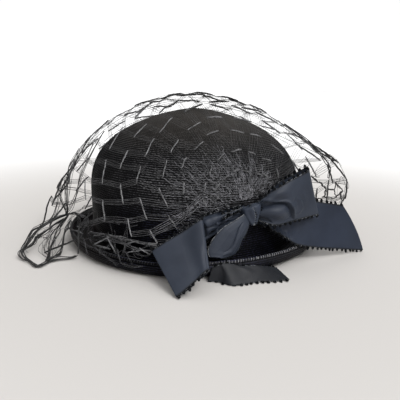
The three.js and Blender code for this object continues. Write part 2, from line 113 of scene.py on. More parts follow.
# Stitches over the sewn edge
STITCH_COUNT = 330
STITCH_POINTS = 8
STITCH_SIDES = 5
STITCH_THREAD = 0.15
STITCH_PROUD = 0.12
STITCH_TURN = (-20.0, 215.0)
STITCH_SLANT = 0.55
STITCH_JITTER = 0.12

# Bow: its place and the knot's, as in the part
BOW_AZIMUTH = math.radians(-65.3)
BOW_RADIUS = 100.0
KNOT_TOP = 54.8
KNOT_LOW = 36.4
KNOT_MIDDLE = -3.7
KNOT_HALF_DEPTH = 5.9

# Ribbon, the loops of its picot edge and the scallops of its selvedge
RIBBON_WIDTH = 38.0
RIBBON_THICK = 0.55
PICOT_PITCH = 4.3
PICOT_HEIGHT = 2.5
PICOT_HALF = 0.65
PICOT_THREAD = 0.56
PICOT_CORD = 0.34
PICOT_CORD_OUT = 0.12
SELVEDGE_PITCH = 1.2
SELVEDGE_HEIGHT = 0.6
SELVEDGE_HALF = 0.5
SELVEDGE_THREAD = 0.28
FOLD_PICOT_PROUD = -0.6
# Unevenness of the loops: shares of their pitch and height, and their tilt
PICOT_SHIFT = 0.1
PICOT_UNEVEN = 0.15
PICOT_TILT = 0.25
# How far the loops start inside the edge, and the middle of a loop as a share of its height
PICOT_SUNK = 0.3
PICOT_MIDDLE = 0.48
PICOT_POINTS = 9
PICOT_SIDES = 5
# Share of a ribbon over which its heading is read, and the least turn of its cross-section in degrees
HEADING_STEP = 0.004
LEAST_ARC = 0.5
# Rounded end of a ribbon: rows over which its heading is read, and the power that keeps it near the end
ENDING_ROWS = 8
ENDING_POWER = 8
# A fold's fall on both sides of it, and the dips beside a soft crease: depth, place and width as shares
FOLD_FALL = 5
DIP_DEPTH = 0.4
DIP_PLACE = 2.1
DIP_WIDTH = 1.3

# Knot: its edges and the seam between its halves, by share of its height
KNOT_SIDES = 160
KNOT_BAND_TOP = 50.6
KNOT_SHARES = (0.0, 0.15, 0.5, 1.0)
KNOT_LEFT_EDGE = (-2.0, -3.6, -6.3, -7.4)
KNOT_RIGHT_EDGE = (3.2, 4.7, 6.7, 7.8)
KNOT_SEAM = (-0.16, -0.14, -0.01, -0.32)
# Rows of the knot's band, as shares of its height and size
KNOT_ROW_HEIGHTS = (
    0.1, 0.05, 0.0, 0.0, 0.03, 0.1, 0.22, 0.36, 0.5, 0.63, 0.75, 0.86, 0.95, 0.99, 1.0, 0.99, 0.97,
)
KNOT_ROW_SIZES = (
    0.1, 0.5, 0.78, 0.92, 0.97, 1.0, 0.98, 0.97, 0.98, 1.0, 1.0, 0.99, 0.96, 0.88, 0.66, 0.34, 0.03,
)
# Powers that round the knot: its front, its width, the depth of its left front and of the rest
KNOT_FRONT_POWER = 0.4
KNOT_WIDTH_POWER = 0.85
KNOT_LEFT_POWER = 0.35
KNOT_DEPTH_POWER = 0.7
# Facets of the knot's halves: rise and start of each, power of the right one, and ripple of the left one
KNOT_LEFT_FACET = (1.4, -0.3)
KNOT_RIGHT_FACET = (0.9, -0.55)
KNOT_RIGHT_POWER = 0.8
KNOT_RIPPLE = (0.3, 8.0, 5.0)
KNOT_LEFT_FALL = 2.4
KNOT_BACK_FALL = 3.6
KNOT_SEAM_BACK = 0.02
KNOT_SEAM_STEP = 0.05
KNOT_SEAM_ROWS = slice(3, 14)
KNOT_SEAM_PROUD = 0.35
KNOT_SEAM_THREAD = 0.2
KNOT_SIDE_SHARE = 0.1
KNOT_SIDE_ROWS = slice(4, 13)
KNOT_SIDE_THREAD = 0.25
# Arches along the knot's seam, and loops along its side and beside the seam
ARCH_HALF = 0.9
ARCH_SHIFT = 0.4
ARCH_HEIGHT = 0.8
SIDE_LOOP = 0.6
SIDE_LOOP_OUT = 0.5
SEAM_LOOP_ASIDE = 0.7
SEAM_LOOP_SUNK = 0.6
KNOT_MERGE_DISTANCE = 1e-5

# Veil: its surface and its meshes, as in the part, and its threads
NET_CENTRE = np.array([0.0, 0.0, 20.0])
NET_CLOSE = 3.5
NET_LOFT = 10.0
NET_GATHER_CLOSE = 1.3
NET_AROUND = 20
NET_STICK = 0.3
NET_PHASE = 5.5
NET_LEAN = 10.0
NET_LEAN_TOWARD = 100.0
NET_RINGS = (8, 11, 14.5, 19, 27, 36, 46, 56, 66.5, 77, 87, 97, 107, 117, 127, 137, 147)
NET_FIRST_RING = 2
NET_FLOOR = 0.9
NET_GATHER_RISE = 1.6
NET_THREAD = 0.125
NET_LOOSE_THREAD = 0.17
NET_BAND_STEP = 1.2
NET_ROPE = 0.28
NET_ROPE_THREAD = 0.22
NET_ROPE_SHARES = (0.95, 1.3)
NET_LOOSE_ROPE = 1.7
NET_STRANDS_IN_ROPE = 3
NET_STRANDS_IN_BAND = 4
NET_WANDER = 0.45
NET_LIFT_WANDER = 0.5
NET_SIDES = 4
# Puffs of the veil: direction and depth of each, and its spread round the hat and upward, in degrees and mm
PUFFS = {
    "left": {"azimuth": 180, "rise": -6, "depth": 31, "across": 30, "upward": 24},
    "right": {"azimuth": 8, "rise": 10, "depth": 42, "across": 27, "upward": 18},
    "pouch": {"azimuth": 211, "rise": -9, "depth": 37, "across": 13, "upward": 11},
    "front drape": {"azimuth": 228, "rise": -6, "depth": 9, "across": 26, "upward": 14},
    "back": {"azimuth": 95, "rise": 8, "depth": 10, "across": 40, "upward": 24},
}
# Where the net lies close to the front of the crown: ranges of azimuth and of rise, in degrees
FRONT_FROM = (196, 224)
FRONT_TO = (318, 344)
FRONT_UP = (45, 80)
# Degrees from the knot over which the net leaves the crown and its rings begin to lean
GATHER_FADE = (14, 34)
LEAN_FADE = (8, 27)
REACH_HALVINGS = 30
# Sticks and bands of the net: points along each, share of a stick's spread at its ends, and their unevenness
ROPE_POINTS = 11
ROPE_END = 0.3
ROPE_ARCH = 0.4
ROPE_WANDER = 0.25
ROPE_TURNS = 1.25
BAND_POINTS = 8
BAND_SAG = 0.4
BAND_SWAY = 0.22
BAND_RIPPLE = 0.1
BAND_LIFT = 0.25
# Bands spread wider on the rings next to the knot
BAND_SPREAD_RINGS = (3, 6)
BAND_SPREADS = (1.9, 1.0)
# Where the net counts as loose, which makes its threads thicker: out, up and back from the crown's axis
LOOSE_OUT = 104
LOOSE_UP = 108
LOOSE_BACK = 20
# Height below which the crown's wall is upright, behind the bow
WALL_TOP = 34
# Slack net across the brim: how far out, and the least height there
SLACK_OUT = (92, 95, 98.2, 102.6, 106.6, 110.6, 112.6, 113.6)
SLACK_UP = (20, 16, 12.5, 10.5, 12.5, 17.0, 15.0, 0.0)
SLACK_DEPTH = 2.5
SLACK_TOUCH = 0.5
# Places where no net is made: behind the right of the bow, and past the brim at the left and the back
UNDER_BOW_X = 10
UNDER_BOW_Y = -35
PAST_BRIM_OUT = 111
PAST_BRIM_UP = 14
PAST_BRIM_X = 60
PAST_BRIM_Y = -30
OFF_SURFACE = 2
# Where the draped net takes the place of bands: out, up and in front of the crown's axis
DRAPED_OUT = 96
DRAPED_UP = 26
DRAPED_Y = -30

# Ribbon rows in order along each ribbon: both edges as (along, outward, height), turn of the cross-section
# in degrees and depth of its gathers
LOOP_RIGHT = (
    ((5.6, -2.2, 51.6), (4.0, -2.0, 39.4), 0, 1.6),
    ((17.3, 3.0, 60.9), (16.0, 4.0, 35.3), 20, 1.0),
    ((26.9, 3.2, 66.0), (30.0, 4.6, 36.5), 26, 0.4),
    ((38.0, 2.5, 69.8), (46.0, 3.4, 38.0), 12, 0.0),
    ((45.8, 1.2, 72.3), (57.5, 1.5, 38.2), 0, 0.0),
    ((47.4, -1.2, 73.4), (58.8, -1.0, 38.2), 0, 0.0),
    ((46.5, -3.8, 73.2), (57.5, -3.4, 38.4), 0, 0.0),
    ((37.2, -6.0, 68.6), (44.0, -5.8, 38.5), 0, 0.0),
    ((25.9, -6.0, 64.0), (28.0, -6.0, 38.2), 0, 0.2),
    ((17.7, -5.4, 58.6), (16.4, -5.3, 38.5), 0, 0.5),
    ((6.3, -3.9, 51.0), (4.7, -3.9, 41.0), 0, 0.9),
)
TAIL_RIGHT = (
    ((6.0, -7.4, 49.5), (4.2, -7.2, 37.0), 0, 1.1),
    ((18.0, -8.9, 53.0), (16.0, -7.6, 31.0), 0, 0.8),
    ((34.0, -11.0, 51.5), (31.0, -4.0, 22.5), 0, 0.4),
    ((50.0, -9.2, 48.6), (41.0, -1.5, 15.6), 0, 0.0),
    ((64.0, -6.0, 45.2), (58.0, 0.4, 11.2), 0, 0.0),
    ((76.0, -3.2, 43.0), (80.0, 0.5, 6.8), 0, 0.0),
    ((84.2, -1.0, 41.6), (109.6, 0.0, 1.1), 0, 0.0),
)
NECK_LEFT = (
    ((-4.0, -6.2, 50.2), (-2.2, -5.6, 40.6), 0, 1.3),
    ((-16.0, -5.6, 48.4), (-15.5, -5.0, 36.5), 0, 1.6),
    ((-26.0, -8.0, 46.0), (-25.0, -7.0, 30.5), -35, 1.2),
    ((-36.0, -9.6, 43.0), (-33.8, -8.7, 25.5), -30, 0.2),
)
LOOP_LEFT = (
    ((-46.0, -10.6, 33.6), (-49.1, 17.6, 9.8), 0, 0.0),
    ((-36.9, -8.2, 39.8), (-43.6, 18.2, 14.6), 0, 0.0),
    ((-36.0, -7.2, 41.3), (-43.0, 19.0, 15.9), 0, 0.0),
    ((-37.3, -6.5, 42.1), (-44.6, 19.6, 16.9), 0, 0.0),
    ((-53.2, -10.4, 32.4), (-54.7, 19.2, 9.6), -8, 0.0),
    ((-68.8, -14.4, 22.6), (-64.6, 18.6, 2.4), 0, 0.0),
    ((-70.2, -15.2, 21.3), (-65.9, 18.0, 1.4), 0, 0.0),
    ((-68.6, -15.9, 20.2), (-64.0, 17.6, 1.0), 0, 0.0),
    ((-52.1, -13.8, 27.4), (-52.8, 16.9, 6.3), 0, 0.0),
)
LEAF = (
    ((-3.4, -1.0, 45.4), (-2.0, -0.8, 37.8), -70, 0.0),
    ((-15.0, 1.0, 41.0), (-5.4, 1.0, 32.0), -75, 0.0),
    ((-23.6, 0.7, 36.9), (-9.1, 0.7, 25.7), -85, 0.0),
    ((-29.6, 0.2, 31.4), (-10.8, 0.2, 20.4), -85, 0.0),
    ((-33.8, 0.5, 25.5), (-14.6, 0.5, 16.2), -80, 0.0),
    ((-35.4, 1.5, 21.1), (-20.2, 2.4, 15.8), -70, 0.0),
    ((-34.6, 2.5, 17.6), (-26.0, 4.2, 16.0), -50, 0.0),
)
TAIL_LOW = (
    ((-33.0, 3.5, 10.0), (-36.0, 3.0, 0.55), 0, 0.0),
    ((-28.6, 5.1, 12.0), (-30.0, 6.6, 0.55), 0, 0.0),
    ((-23.5, 6.4, 12.6), (-24.0, 15.5, 0.55), 0, 0.0),
    ((-13.4, 7.5, 9.6), (-14.3, 17.0, 0.55), 0, 0.0),
    ((-0.3, 8.0, 7.7), (-4.0, 18.0, 0.55), 0, 0.0),
    ((9.0, 6.9, 5.3), (6.5, 21.4, 0.55), 0, 0.0),
    ((21.4, 2.6, 0.6), (17.8, 23.0, 0.55), 0, 0.0),
)
# Height of the leaf's fold across it, as shares: its ridge lies nearer the low edge
LEAF_PROFILE = (
    (0.0, 0.0), (0.12, 0.4), (0.3, 0.74), (0.5, 0.93), (0.69, 1.05), (0.76, 0.84), (0.88, 0.5), (1.0, 0.2),
)
# Lines of picots along edges and folds inside a ribbon's grid: column, first row and last row
NECK_FOLD_PICOTS = (
    (18, 8, 56), (26, 10, 60), (34, 8, 54), (42, 10, 50), (50, 12, 46), (60, 84, 98), (66, 86, 100),
)
PANEL_PICOTS = ((-1, 48, 156),)

# Creases: kind, width and depth in mm, shares of it that fade in and out, and its path as shares along and
# across the ribbon
RIGHT_CREASES = (
    ("fold", 0.45, 3.2, (0.1, 0.35),
     ((0.01, 0.08), (0.05, 0.16), (0.095, 0.30), (0.165, 0.46), (0.195, 0.62), (0.21, 0.82), (0.215, 0.96))),
    ("ridge", 4.0, 1.6, (0.3, 0.4), ((0.05, 0.03), (0.105, 0.10), (0.17, 0.26), (0.22, 0.46))),
    ("soft", 1.4, 0.6, (0.3, 0.3), ((0.235, 0.40), (0.262, 0.58), (0.262, 0.76), (0.238, 0.86))),
    ("soft", 1.9, 0.35, (0.3, 0.3), ((0.27, 0.32), (0.295, 0.55), (0.285, 0.78))),
    ("ridge", 5.0, 1.7, (0.3, 0.4), ((0.02, 0.5), (0.08, 0.56), (0.14, 0.72), (0.17, 0.9))),
    ("fold", 0.8, 1.6, (0.1, 0.4), ((0.0, 0.7), (0.05, 0.78), (0.09, 0.96))),
)
NECK_CREASES = (
    ("ridge", 5.0, 3.0, (0.2, 0.3), ((0.05, 0.42), (0.2, 0.5), (0.4, 0.48))),
    ("ridge", 5.5, -2.2, (0.25, 0.2), ((0.66, 0.16), (0.76, 0.26), (0.86, 0.26), (0.95, 0.12))),
    ("ridge", 4.5, 2.6, (0.25, 0.25), ((0.75, 0.72), (0.82, 0.8), (0.9, 0.74))),
    ("fold", 0.7, 1.5, (0.25, 0.25), ((0.88, 0.48), (0.79, 0.44), (0.70, 0.52), (0.62, 0.6))),
    ("fold", 0.7, 1.6, (0.2, 0.3), ((0.62, 0.95), (0.66, 0.75), (0.6, 0.5), (0.52, 0.3))),
    ("fold", 0.8, 1.8, (0.2, 0.2), ((0.97, 0.2), (0.93, 0.5), (0.95, 0.9))),
)
LEAF_CREASES = (
    ("ridge", 1.1, 1.3, (0.25, 0.4), ((0.12, 0.34), (0.205, 0.4), (0.31, 0.54), (0.525, 0.6), (0.75, 0.54))),
    ("fold", 0.9, -0.8, (0.3, 0.3), ((0.26, 0.76), (0.45, 0.8), (0.7, 0.78), (0.9, 0.7))),
)
PANEL_CREASES = (
    ("ridge", 6.5, 1.3, (0.1, 0.1), ((0.47, 0.0), (0.47, 0.4), (0.45, 1.0))),
    ("ridge", 2.2, 1.0, (0.4, 0.1), ((0.36, 0.5), (0.385, 0.72), (0.38, 1.0))),
)
TAIL_CREASES = (
    ("soft", 1.7, -1.2, (0.1, 0.4), ((0.0, 0.5), (0.14, 0.62), (0.3, 0.9))),
    ("soft", 3.0, 0.7, (0.3, 0.3), ((0.12, 0.3), (0.3, 0.5), (0.45, 0.85))),
    ("soft", 1.4, 1.4, (0.5, 0.01), ((0.14, 0.7), (0.15, 1.0))),
    ("soft", 1.5, 1.5, (0.5, 0.01), ((0.2, 0.74), (0.22, 1.0))),
    ("soft", 1.6, 1.3, (0.5, 0.01), ((0.27, 0.78), (0.3, 1.0))),
    ("soft", 1.6, 0.8, (0.5, 0.01), ((0.36, 0.84), (0.39, 1.0))),
)
LOW_CREASES = (
    ("fold", 1.2, 0.7, (0.2, 0.2), ((0.2, 0.0), (0.26, 0.5), (0.24, 1.0))),
    ("soft", 3.0, 0.5, (0.2, 0.2), ((0.5, 0.05), (0.58, 0.4), (0.56, 0.9))),
)
CREASE_POINTS = 60

# Sockets of a Mix node for colours
MIX_SHARE, MIX_LOW, MIX_HIGH = 0, 6, 7
MIX_COLOUR = 2


# Shader values and nodes
class Wire:
    """One shader socket; sums and products of values add their Math nodes."""

    def __init__(self, nodes, socket):
        self.nodes = nodes
        self.socket = socket

    def math(self, operation, *values):
        return self.nodes.node("ShaderNodeMath", {"operation": operation}, dict(enumerate(values)))

    def __add__(self, other):
        return self.math("ADD", self, other)

    def __sub__(self, other):
        return self.math("SUBTRACT", self, other)

    def __rsub__(self, other):
        return self.math("SUBTRACT", other, self)

    def __mul__(self, other):
        return self.math("MULTIPLY", self, other)

    __radd__ = __add__
    __rmul__ = __mul__

    def root(self):
        return self.math("SQRT", self)

    def wave(self):
        return self.math("SINE", self) * 0.5 + 0.5

    def between(self, low, high):
        settings = {"interpolation_type": "SMOOTHSTEP", "clamp": True}
        values = {"Value": self, "From Min": low, "From Max": high}
        return self.nodes.node("ShaderNodeMapRange", settings, values)


class Nodes:
    """The nodes of one material or world."""

    def __init__(self, tree):
        self.tree = tree

    def node(self, kind, settings, values, output=0):
        made = self.tree.nodes.new(kind)
        for name, value in settings.items():
            setattr(made, name, value)
        for name, value in values.items():
            if isinstance(value, Wire):
                self.tree.links.new(value.socket, made.inputs[name])
            else:
                made.inputs[name].default_value = value
        return Wire(self, made.outputs[output])

    def place(self):
        return self.node("ShaderNodeTexCoord", {}, {}, "Object")

    def parts_of(self, vector):
        return [self.node("ShaderNodeSeparateXYZ", {}, {0: vector}, k) for k in range(3)]

    def attribute(self, name):
        return self.node("ShaderNodeAttribute", {"attribute_name": name}, {}, "Fac")

    def uv(self):
        return self.parts_of(self.node("ShaderNodeUVMap", {"uv_map": "cloth"}, {}))

    def noise(self, scale, detail, vector=None):
        values = {"Vector": vector or self.place(), "Scale": scale, "Detail": detail}
        return self.node("ShaderNodeTexNoise", {}, values)

    def mixed(self, share, low, high):
        """A colour between two, each a wire or a plain colour."""
        low, high = (end if isinstance(end, Wire) else (*end, 1.0) for end in (low, high))
        values = {MIX_SHARE: share, MIX_LOW: low, MIX_HIGH: high}
        return self.node("ShaderNodeMix", {"data_type": "RGBA", "clamp_factor": True}, values, MIX_COLOUR)

    def bump(self, height, distance, strength):
        return self.node("ShaderNodeBump", {}, {"Height": height, "Distance": distance, "Strength": strength})


class Finish(Nodes):
    """One material: its Principled shader and the nodes that feed it."""

    def __init__(self, name, **constants):
        self.material = bpy.data.materials.new(name)
        self.material.use_nodes = True
        super().__init__(self.material.node_tree)
        self.shader = self.tree.nodes["Principled BSDF"]
        for socket, value in constants.items():
            self.shader.inputs[socket.replace("_", " ")].default_value = value

    def feed(self, **wires):
        for name, wire in wires.items():
            self.tree.links.new(wire.socket, self.shader.inputs[name.replace("_", " ")])


def out_from_axis(x, y):
    across = x - AXIS[0]
    deep = y - AXIS[1]
    return (across * across + deep * deep).root()


# Straw colours: the dark between rows, painted shade low on the crown, painted light at the top, the far left
# of the brim and the lip at the right, and flecks painted as highlights on rows that face the light or lie
# aside
STRAW_PAINTED_SHADE_LOW = (0.0002, 0.0002, 0.0005)
STRAW_DARK = (0.0052, 0.0052, 0.0062)
STRAW_PAINTED_LIGHT_TOP = (0.0200, 0.0178, 0.0158)
STRAW_PAINTED_LIGHT_LEFT = (0.0140, 0.0122, 0.0114)
STRAW_PAINTED_LIGHT_LIP = (0.0260, 0.0262, 0.0296)
HIGHLIGHT_ASIDE_LOW = (0.014, 0.015, 0.026)
HIGHLIGHT_ASIDE = (0.075, 0.074, 0.076)
HIGHLIGHT_FACING_LOW = (0.060, 0.064, 0.115)
HIGHLIGHT_FACING = (0.380, 0.380, 0.395)
HIGHLIGHT_HIGH = (0.125, 0.122, 0.122)
HIGHLIGHT_TOP = (0.120, 0.109, 0.100)
# Ranges of the straw's painted shade and light, in m: heights, the left brim, the lip at the right and the
# facing side
STRAW_MIDDLE = (0.034, 0.058)
STRAW_HIGH = (0.062, 0.088)
STRAW_TOP = (0.078, 0.108)
LEFT_BRIM_X = (-0.1, -0.06)
LEFT_BRIM_Z = (0.014, 0.024)
LIP_OUT = (0.105, 0.110)
LIP_X = (-0.02, 0.02)
FACING_FROM_X = (-0.078, 0.004)
FACING_TO_X = (0.02, 0.075)
PLAITS_PER_RADIAN = 210.0
PLAIT_SLANT = 6.0
FLECKS_PER_RADIAN = 52.0
FLECKS_PER_ROW = 3.4
FLECK_RANGE = (0.4, 0.66)
# Noise of the straw: scales of its fibres, patches and the patches where its painted highlights thin,
# and what shows of them
FIBRE_SCALE = 2600.0
PATCH_SCALE = 26.0
PATCH_SHARE = 0.2
HIGHLIGHT_PATCH_SCALE = 62.0
HIGHLIGHT_PATCH_RANGE = (0.3, 0.66)
HIGHLIGHT_PATCH_LEAST = 0.35
STRAW_BUMP = 0.00025


def straw_finish():
    made = Finish("black_straw", Specular_IOR_Level=0.08, IOR=1.45)
    row = made.attribute("row")
    x, y, z = made.parts_of(made.place())
    turn = made.node("ShaderNodeMath", {"operation": "ARCTAN2"}, {0: y - AXIS[1], 1: x - AXIS[0]})
    crest = (row * (2 * math.pi) - math.pi / 2).wave()
    slant = made.node("ShaderNodeMath", {"operation": "PINGPONG"}, {0: row, 1: 1.0})
    plait = (turn * PLAITS_PER_RADIAN + slant * PLAIT_SLANT).wave()
    straws = made.node("ShaderNodeCombineXYZ", {}, {0: turn * FLECKS_PER_RADIAN, 1: row * FLECKS_PER_ROW})
    fleck = made.noise(1.0, 2.0, straws)
    fibre = made.noise(FIBRE_SCALE, 2.0)
    patches = made.noise(PATCH_SCALE, 3.0)
    middle = z.between(*STRAW_MIDDLE)
    top = z.between(*STRAW_TOP)
    left_brim = (1 - x.between(*LEFT_BRIM_X)) * (1 - z.between(*LEFT_BRIM_Z))
    lip = out_from_axis(x, y).between(*LIP_OUT) * x.between(*LIP_X)
    height = middle * (1 - PATCH_SHARE) + patches * PATCH_SHARE
    # Painted shade darkens the ground low on the crown; painted light lightens the top, the far left brim and
    # the lip
    ground = made.mixed(height, STRAW_PAINTED_SHADE_LOW, STRAW_DARK)
    ground = made.mixed(top, ground, STRAW_PAINTED_LIGHT_TOP)
    ground = made.mixed(left_brim, ground, STRAW_PAINTED_LIGHT_LEFT)
    ground = made.mixed(lip, ground, STRAW_PAINTED_LIGHT_LIP)
    # Flecks on the rows' crests are straw texture painted as highlights, brightest where the rows face the
    # light
    facing = x.between(*FACING_FROM_X) * (1 - x.between(*FACING_TO_X))
    aside = made.mixed(middle, HIGHLIGHT_ASIDE_LOW, HIGHLIGHT_ASIDE)
    light = made.mixed(facing, aside, made.mixed(middle, HIGHLIGHT_FACING_LOW, HIGHLIGHT_FACING))
    light = made.mixed(z.between(*STRAW_HIGH), light, HIGHLIGHT_HIGH)
    light = made.mixed(top, light, HIGHLIGHT_TOP)
    highlight_patches = made.noise(HIGHLIGHT_PATCH_SCALE, 2.0).between(*HIGHLIGHT_PATCH_RANGE) * (1 - HIGHLIGHT_PATCH_LEAST) + HIGHLIGHT_PATCH_LEAST
    shown = crest * crest * crest * fleck.between(*FLECK_RANGE) * highlight_patches
    made.feed(Base_Color=made.mixed(shown, ground, light), Roughness=0.36 - crest * 0.08 + fleck * 0.16)
    made.feed(Normal=made.bump(plait * 0.5 + fibre * 0.4 + fleck * 0.5, STRAW_BUMP, 0.8))
    return made.material


# Taffeta: colours, thread pitches and dark hem in mm of the flat ribbon, noise, and depth of its weave
TAFFETA_DARK = (0.0178, 0.0232, 0.0362)
TAFFETA_LIGHT = (0.0262, 0.0328, 0.0490)
TAFFETA_HEM = (0.006, 0.008, 0.012)
SHEEN_TINT = (0.74, 0.86, 1.0, 1.0)
WEFT_PITCH = 0.55
WARP_PITCH = 0.42
HEM_WIDTH = 1.4
CLOUD_SCALE = 55.0
CLOUD_RANGE = (0.3, 0.7)
SLUB_SCALE = 900.0
WEAVE_BUMP = 0.00012


def taffeta_finish(name, share, tint=(1.0, 1.0, 1.0)):
    """Ribbon taffeta; share and tint are its lightness and hue, which make lighter and darker copies of it as
    painted light and shade.
    """
    made = Finish(name, Sheen_Weight=0.1, Sheen_Roughness=0.35, Sheen_Tint=SHEEN_TINT, Specular_IOR_Level=0.3)
    along, across, _ = made.uv()
    weft = (along * (2 * math.pi / WEFT_PITCH)).wave()
    warp = (across * (2 * math.pi / WARP_PITCH)).wave()
    clouds = made.noise(CLOUD_SCALE, 3.0)
    slub = made.noise(SLUB_SCALE, 1.0)
    inside = across.between(0.0, HEM_WIDTH) * (1 - across.between(RIBBON_WIDTH - HEM_WIDTH, RIBBON_WIDTH))
    dark, light = ([share * c * k for c, k in zip(colour, tint)] for colour in (TAFFETA_DARK, TAFFETA_LIGHT))
    cloth = made.mixed(inside, TAFFETA_HEM, made.mixed(clouds.between(*CLOUD_RANGE), dark, light))
    made.feed(Base_Color=cloth, Roughness=0.44 + slub * 0.1 + weft * 0.05)
    made.feed(Normal=made.bump(weft * 0.7 + warp * 0.3, WEAVE_BUMP, 0.35))
    return made.material


# Ranges over which painted shade dims thread: out and up to where it hangs loose, up the crown and across to
# its left
THREAD_LOOSE_OUT = (0.097, 0.113)
THREAD_LOOSE_UP = (0.106, 0.120)
THREAD_HIGH = (0.045, 0.085)
THREAD_LEFT = (-0.02, 0.04)
# Noise of thread: its plies and its lighter and darker lengths
PLY_SCALE = 1000.0
PLY_BUMP = 0.00015
SHADE_SCALE = 240.0
SHADE_RANGE = (0.36, 0.62)


def thread_finish(name, dark, light, roughness=0.4, *, loose=1.0, high=1.0, left=1.0, shine=0.5):
    """Thread in a range of shades, dimmed as painted shade to these shares where it is loose, high up and at
    the left.
    """
    made = Finish(name, Specular_IOR_Level=shine, Sheen_Weight=0.05 * shine, Sheen_Roughness=0.5)
    ply = made.noise(PLY_SCALE, 1.0)
    shade = (made.noise(SHADE_SCALE, 2.0) * 0.5 + ply * 0.5).between(*SHADE_RANGE)
    x, y, z = made.parts_of(made.place())

    def dimmed(share):
        return made.mixed(shade, [share * c for c in dark], [share * c for c in light])

    off_crown = out_from_axis(x, y).between(*THREAD_LOOSE_OUT) + z.between(*THREAD_LOOSE_UP)
    colour = made.mixed(z.between(*THREAD_HIGH), dimmed(1.0), dimmed(high))
    colour = made.mixed(off_crown, colour, dimmed(loose))
    if left < 1:
        colour = made.mixed(x.between(*THREAD_LEFT), dimmed(left), colour)
    made.feed(Base_Color=colour, Roughness=roughness + ply * 0.15)
    made.feed(Normal=made.bump(ply, PLY_BUMP, 0.5))
    return made.material


STRAW_FINISH = straw_finish()
# Copies of the one taffeta: the knot lighter as painted light, both tails darker and retinted as painted
# shade
TAFFETA_FINISH = taffeta_finish("slate_taffeta", 1.0)
TAFFETA_KNOT_PAINTED_LIGHT_FINISH = taffeta_finish("slate_taffeta_painted_light_knot", 1.3)
TAFFETA_TAIL_PAINTED_SHADE_FINISH = taffeta_finish("slate_taffeta_painted_shade_tail", 0.7, (0.84, 0.98, 1.2))
TAFFETA_LOW_PAINTED_SHADE_FINISH = taffeta_finish("slate_taffeta_painted_shade_low", 0.4, (1.15, 1.0, 0.85))
NET_FINISH = thread_finish("net_thread", (0.050, 0.050, 0.053), (0.190, 0.190, 0.198), loose=0.07, high=0.35)
NET_KNOT_FINISH = thread_finish("net_twist", (0.06, 0.06, 0.063), (0.26, 0.26, 0.268), loose=0.03, high=0.8)
NET_DRAPE_FINISH = thread_finish("net_drape", (0.008, 0.008, 0.010), (0.105, 0.105, 0.111), loose=0.8)
# A near-black copy of the net thread for strands along the folds and in the puff: painted shade
NET_FOLD_PAINTED_SHADE_FINISH = thread_finish("net_painted_shade_fold", (0.004, 0.004, 0.005), (0.012, 0.012, 0.013), 0.5)
GATHER_FINISH = thread_finish("net_gather", (0.003, 0.003, 0.004), (0.3, 0.3, 0.325), loose=0.4, high=0.75)
PICOT_FINISH = thread_finish("picot_thread", (0.0010, 0.0012, 0.0016), (0.0050, 0.0062, 0.0082), shine=0.1)
# Selvedge thread: its scallops are real, their light dots are painted glints along the edges
SELVEDGE_FINISH = thread_finish("selvedge_thread", (0.012, 0.014, 0.017), (0.230, 0.240, 0.255), shine=0.3)
# Stitch thread: full lightness at the right as painted light, dimmed at the left as painted shade
STITCH_FINISH = thread_finish("edge_stitch", (0.090, 0.090, 0.097), (0.470, 0.470, 0.492), 0.35, left=0.08)


# Meshes
def in_frame(points):
    return np.asarray(points, float) * MM + AXIS


def deselect():
    bpy.ops.object.select_all(action="DESELECT")


def finished(piece, finish, slot, *nodes):
    piece.data.materials.clear()
    piece.data.materials.append(finish)
    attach(piece, "root")
    if nodes:
        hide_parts(*nodes)


def coordinates(mesh):
    flat = np.zeros(len(mesh.vertices) * 3)
    mesh.vertices.foreach_get("co", flat)
    return flat.reshape(-1, 3)


def set_coordinates(mesh, points):
    mesh.vertices.foreach_set("co", np.asarray(points, float).ravel())
    mesh.update()


def smooth_step(value, low, high):
    t = np.clip((np.asarray(value, float) - low) / (high - low), 0.0, 1.0)
    return t * t * (3 - 2 * t)


def unit(vectors):
    return vectors / np.maximum(np.linalg.norm(vectors, axis=-1, keepdims=True), TINY)


def run_along(points):
    """Distance along a line of points, or the mean distance along the columns of a grid."""
    step = np.linalg.norm(np.diff(points, axis=0), axis=-1)
    return np.r_[0.0, np.cumsum(step.reshape(len(step), -1).mean(axis=1))]


def joined_mesh(name, points, face_groups):
    """One smooth mesh from points in mm and arrays of faces, each array with its own corner count."""
    corners = np.concatenate([group.ravel() for group in face_groups])
    sizes = np.concatenate([np.full(len(group), group.shape[1]) for group in face_groups])
    mesh = bpy.data.meshes.new(name)
    mesh.vertices.add(len(points))
    mesh.vertices.foreach_set("co", in_frame(points).ravel())
    mesh.loops.add(len(corners))
    mesh.loops.foreach_set("vertex_index", corners.astype(np.int32))
    mesh.polygons.add(len(sizes))
    mesh.polygons.foreach_set("loop_start", (np.cumsum(sizes) - sizes).astype(np.int32))
    mesh.update(calc_edges=True)
    mesh.validate()
    piece = bpy.data.objects.new(name, mesh)
    bpy.context.scene.collection.objects.link(piece)
    mesh.shade_smooth()
    return piece


# Straw
def crown_line(inset):
    """Outside or inside of the crown from its base to its top, as close points (out, up)."""
    turn = np.linspace(0.0, math.pi / 2, DOME_POINTS)
    out = (CROWN_RADIUS - inset) * np.cos(turn).clip(0) ** (2 / CROWN_POWER_OUT)
    up = CROWN_SHOULDER + (CROWN_HEIGHT - inset - CROWN_SHOULDER) * np.sin(turn) ** (2 / CROWN_POWER_UP)
    wall = np.linspace(0.0, 1.0, WALL_POINTS, endpoint=False)[:, None]
    foot = np.array([CROWN_RADIUS - CROWN_TAPER - inset, CROWN_BASE])
    wall = foot + wall * (np.array([out[0], up[0]]) - foot)
    return np.vstack([wall, np.c_[out, up]])


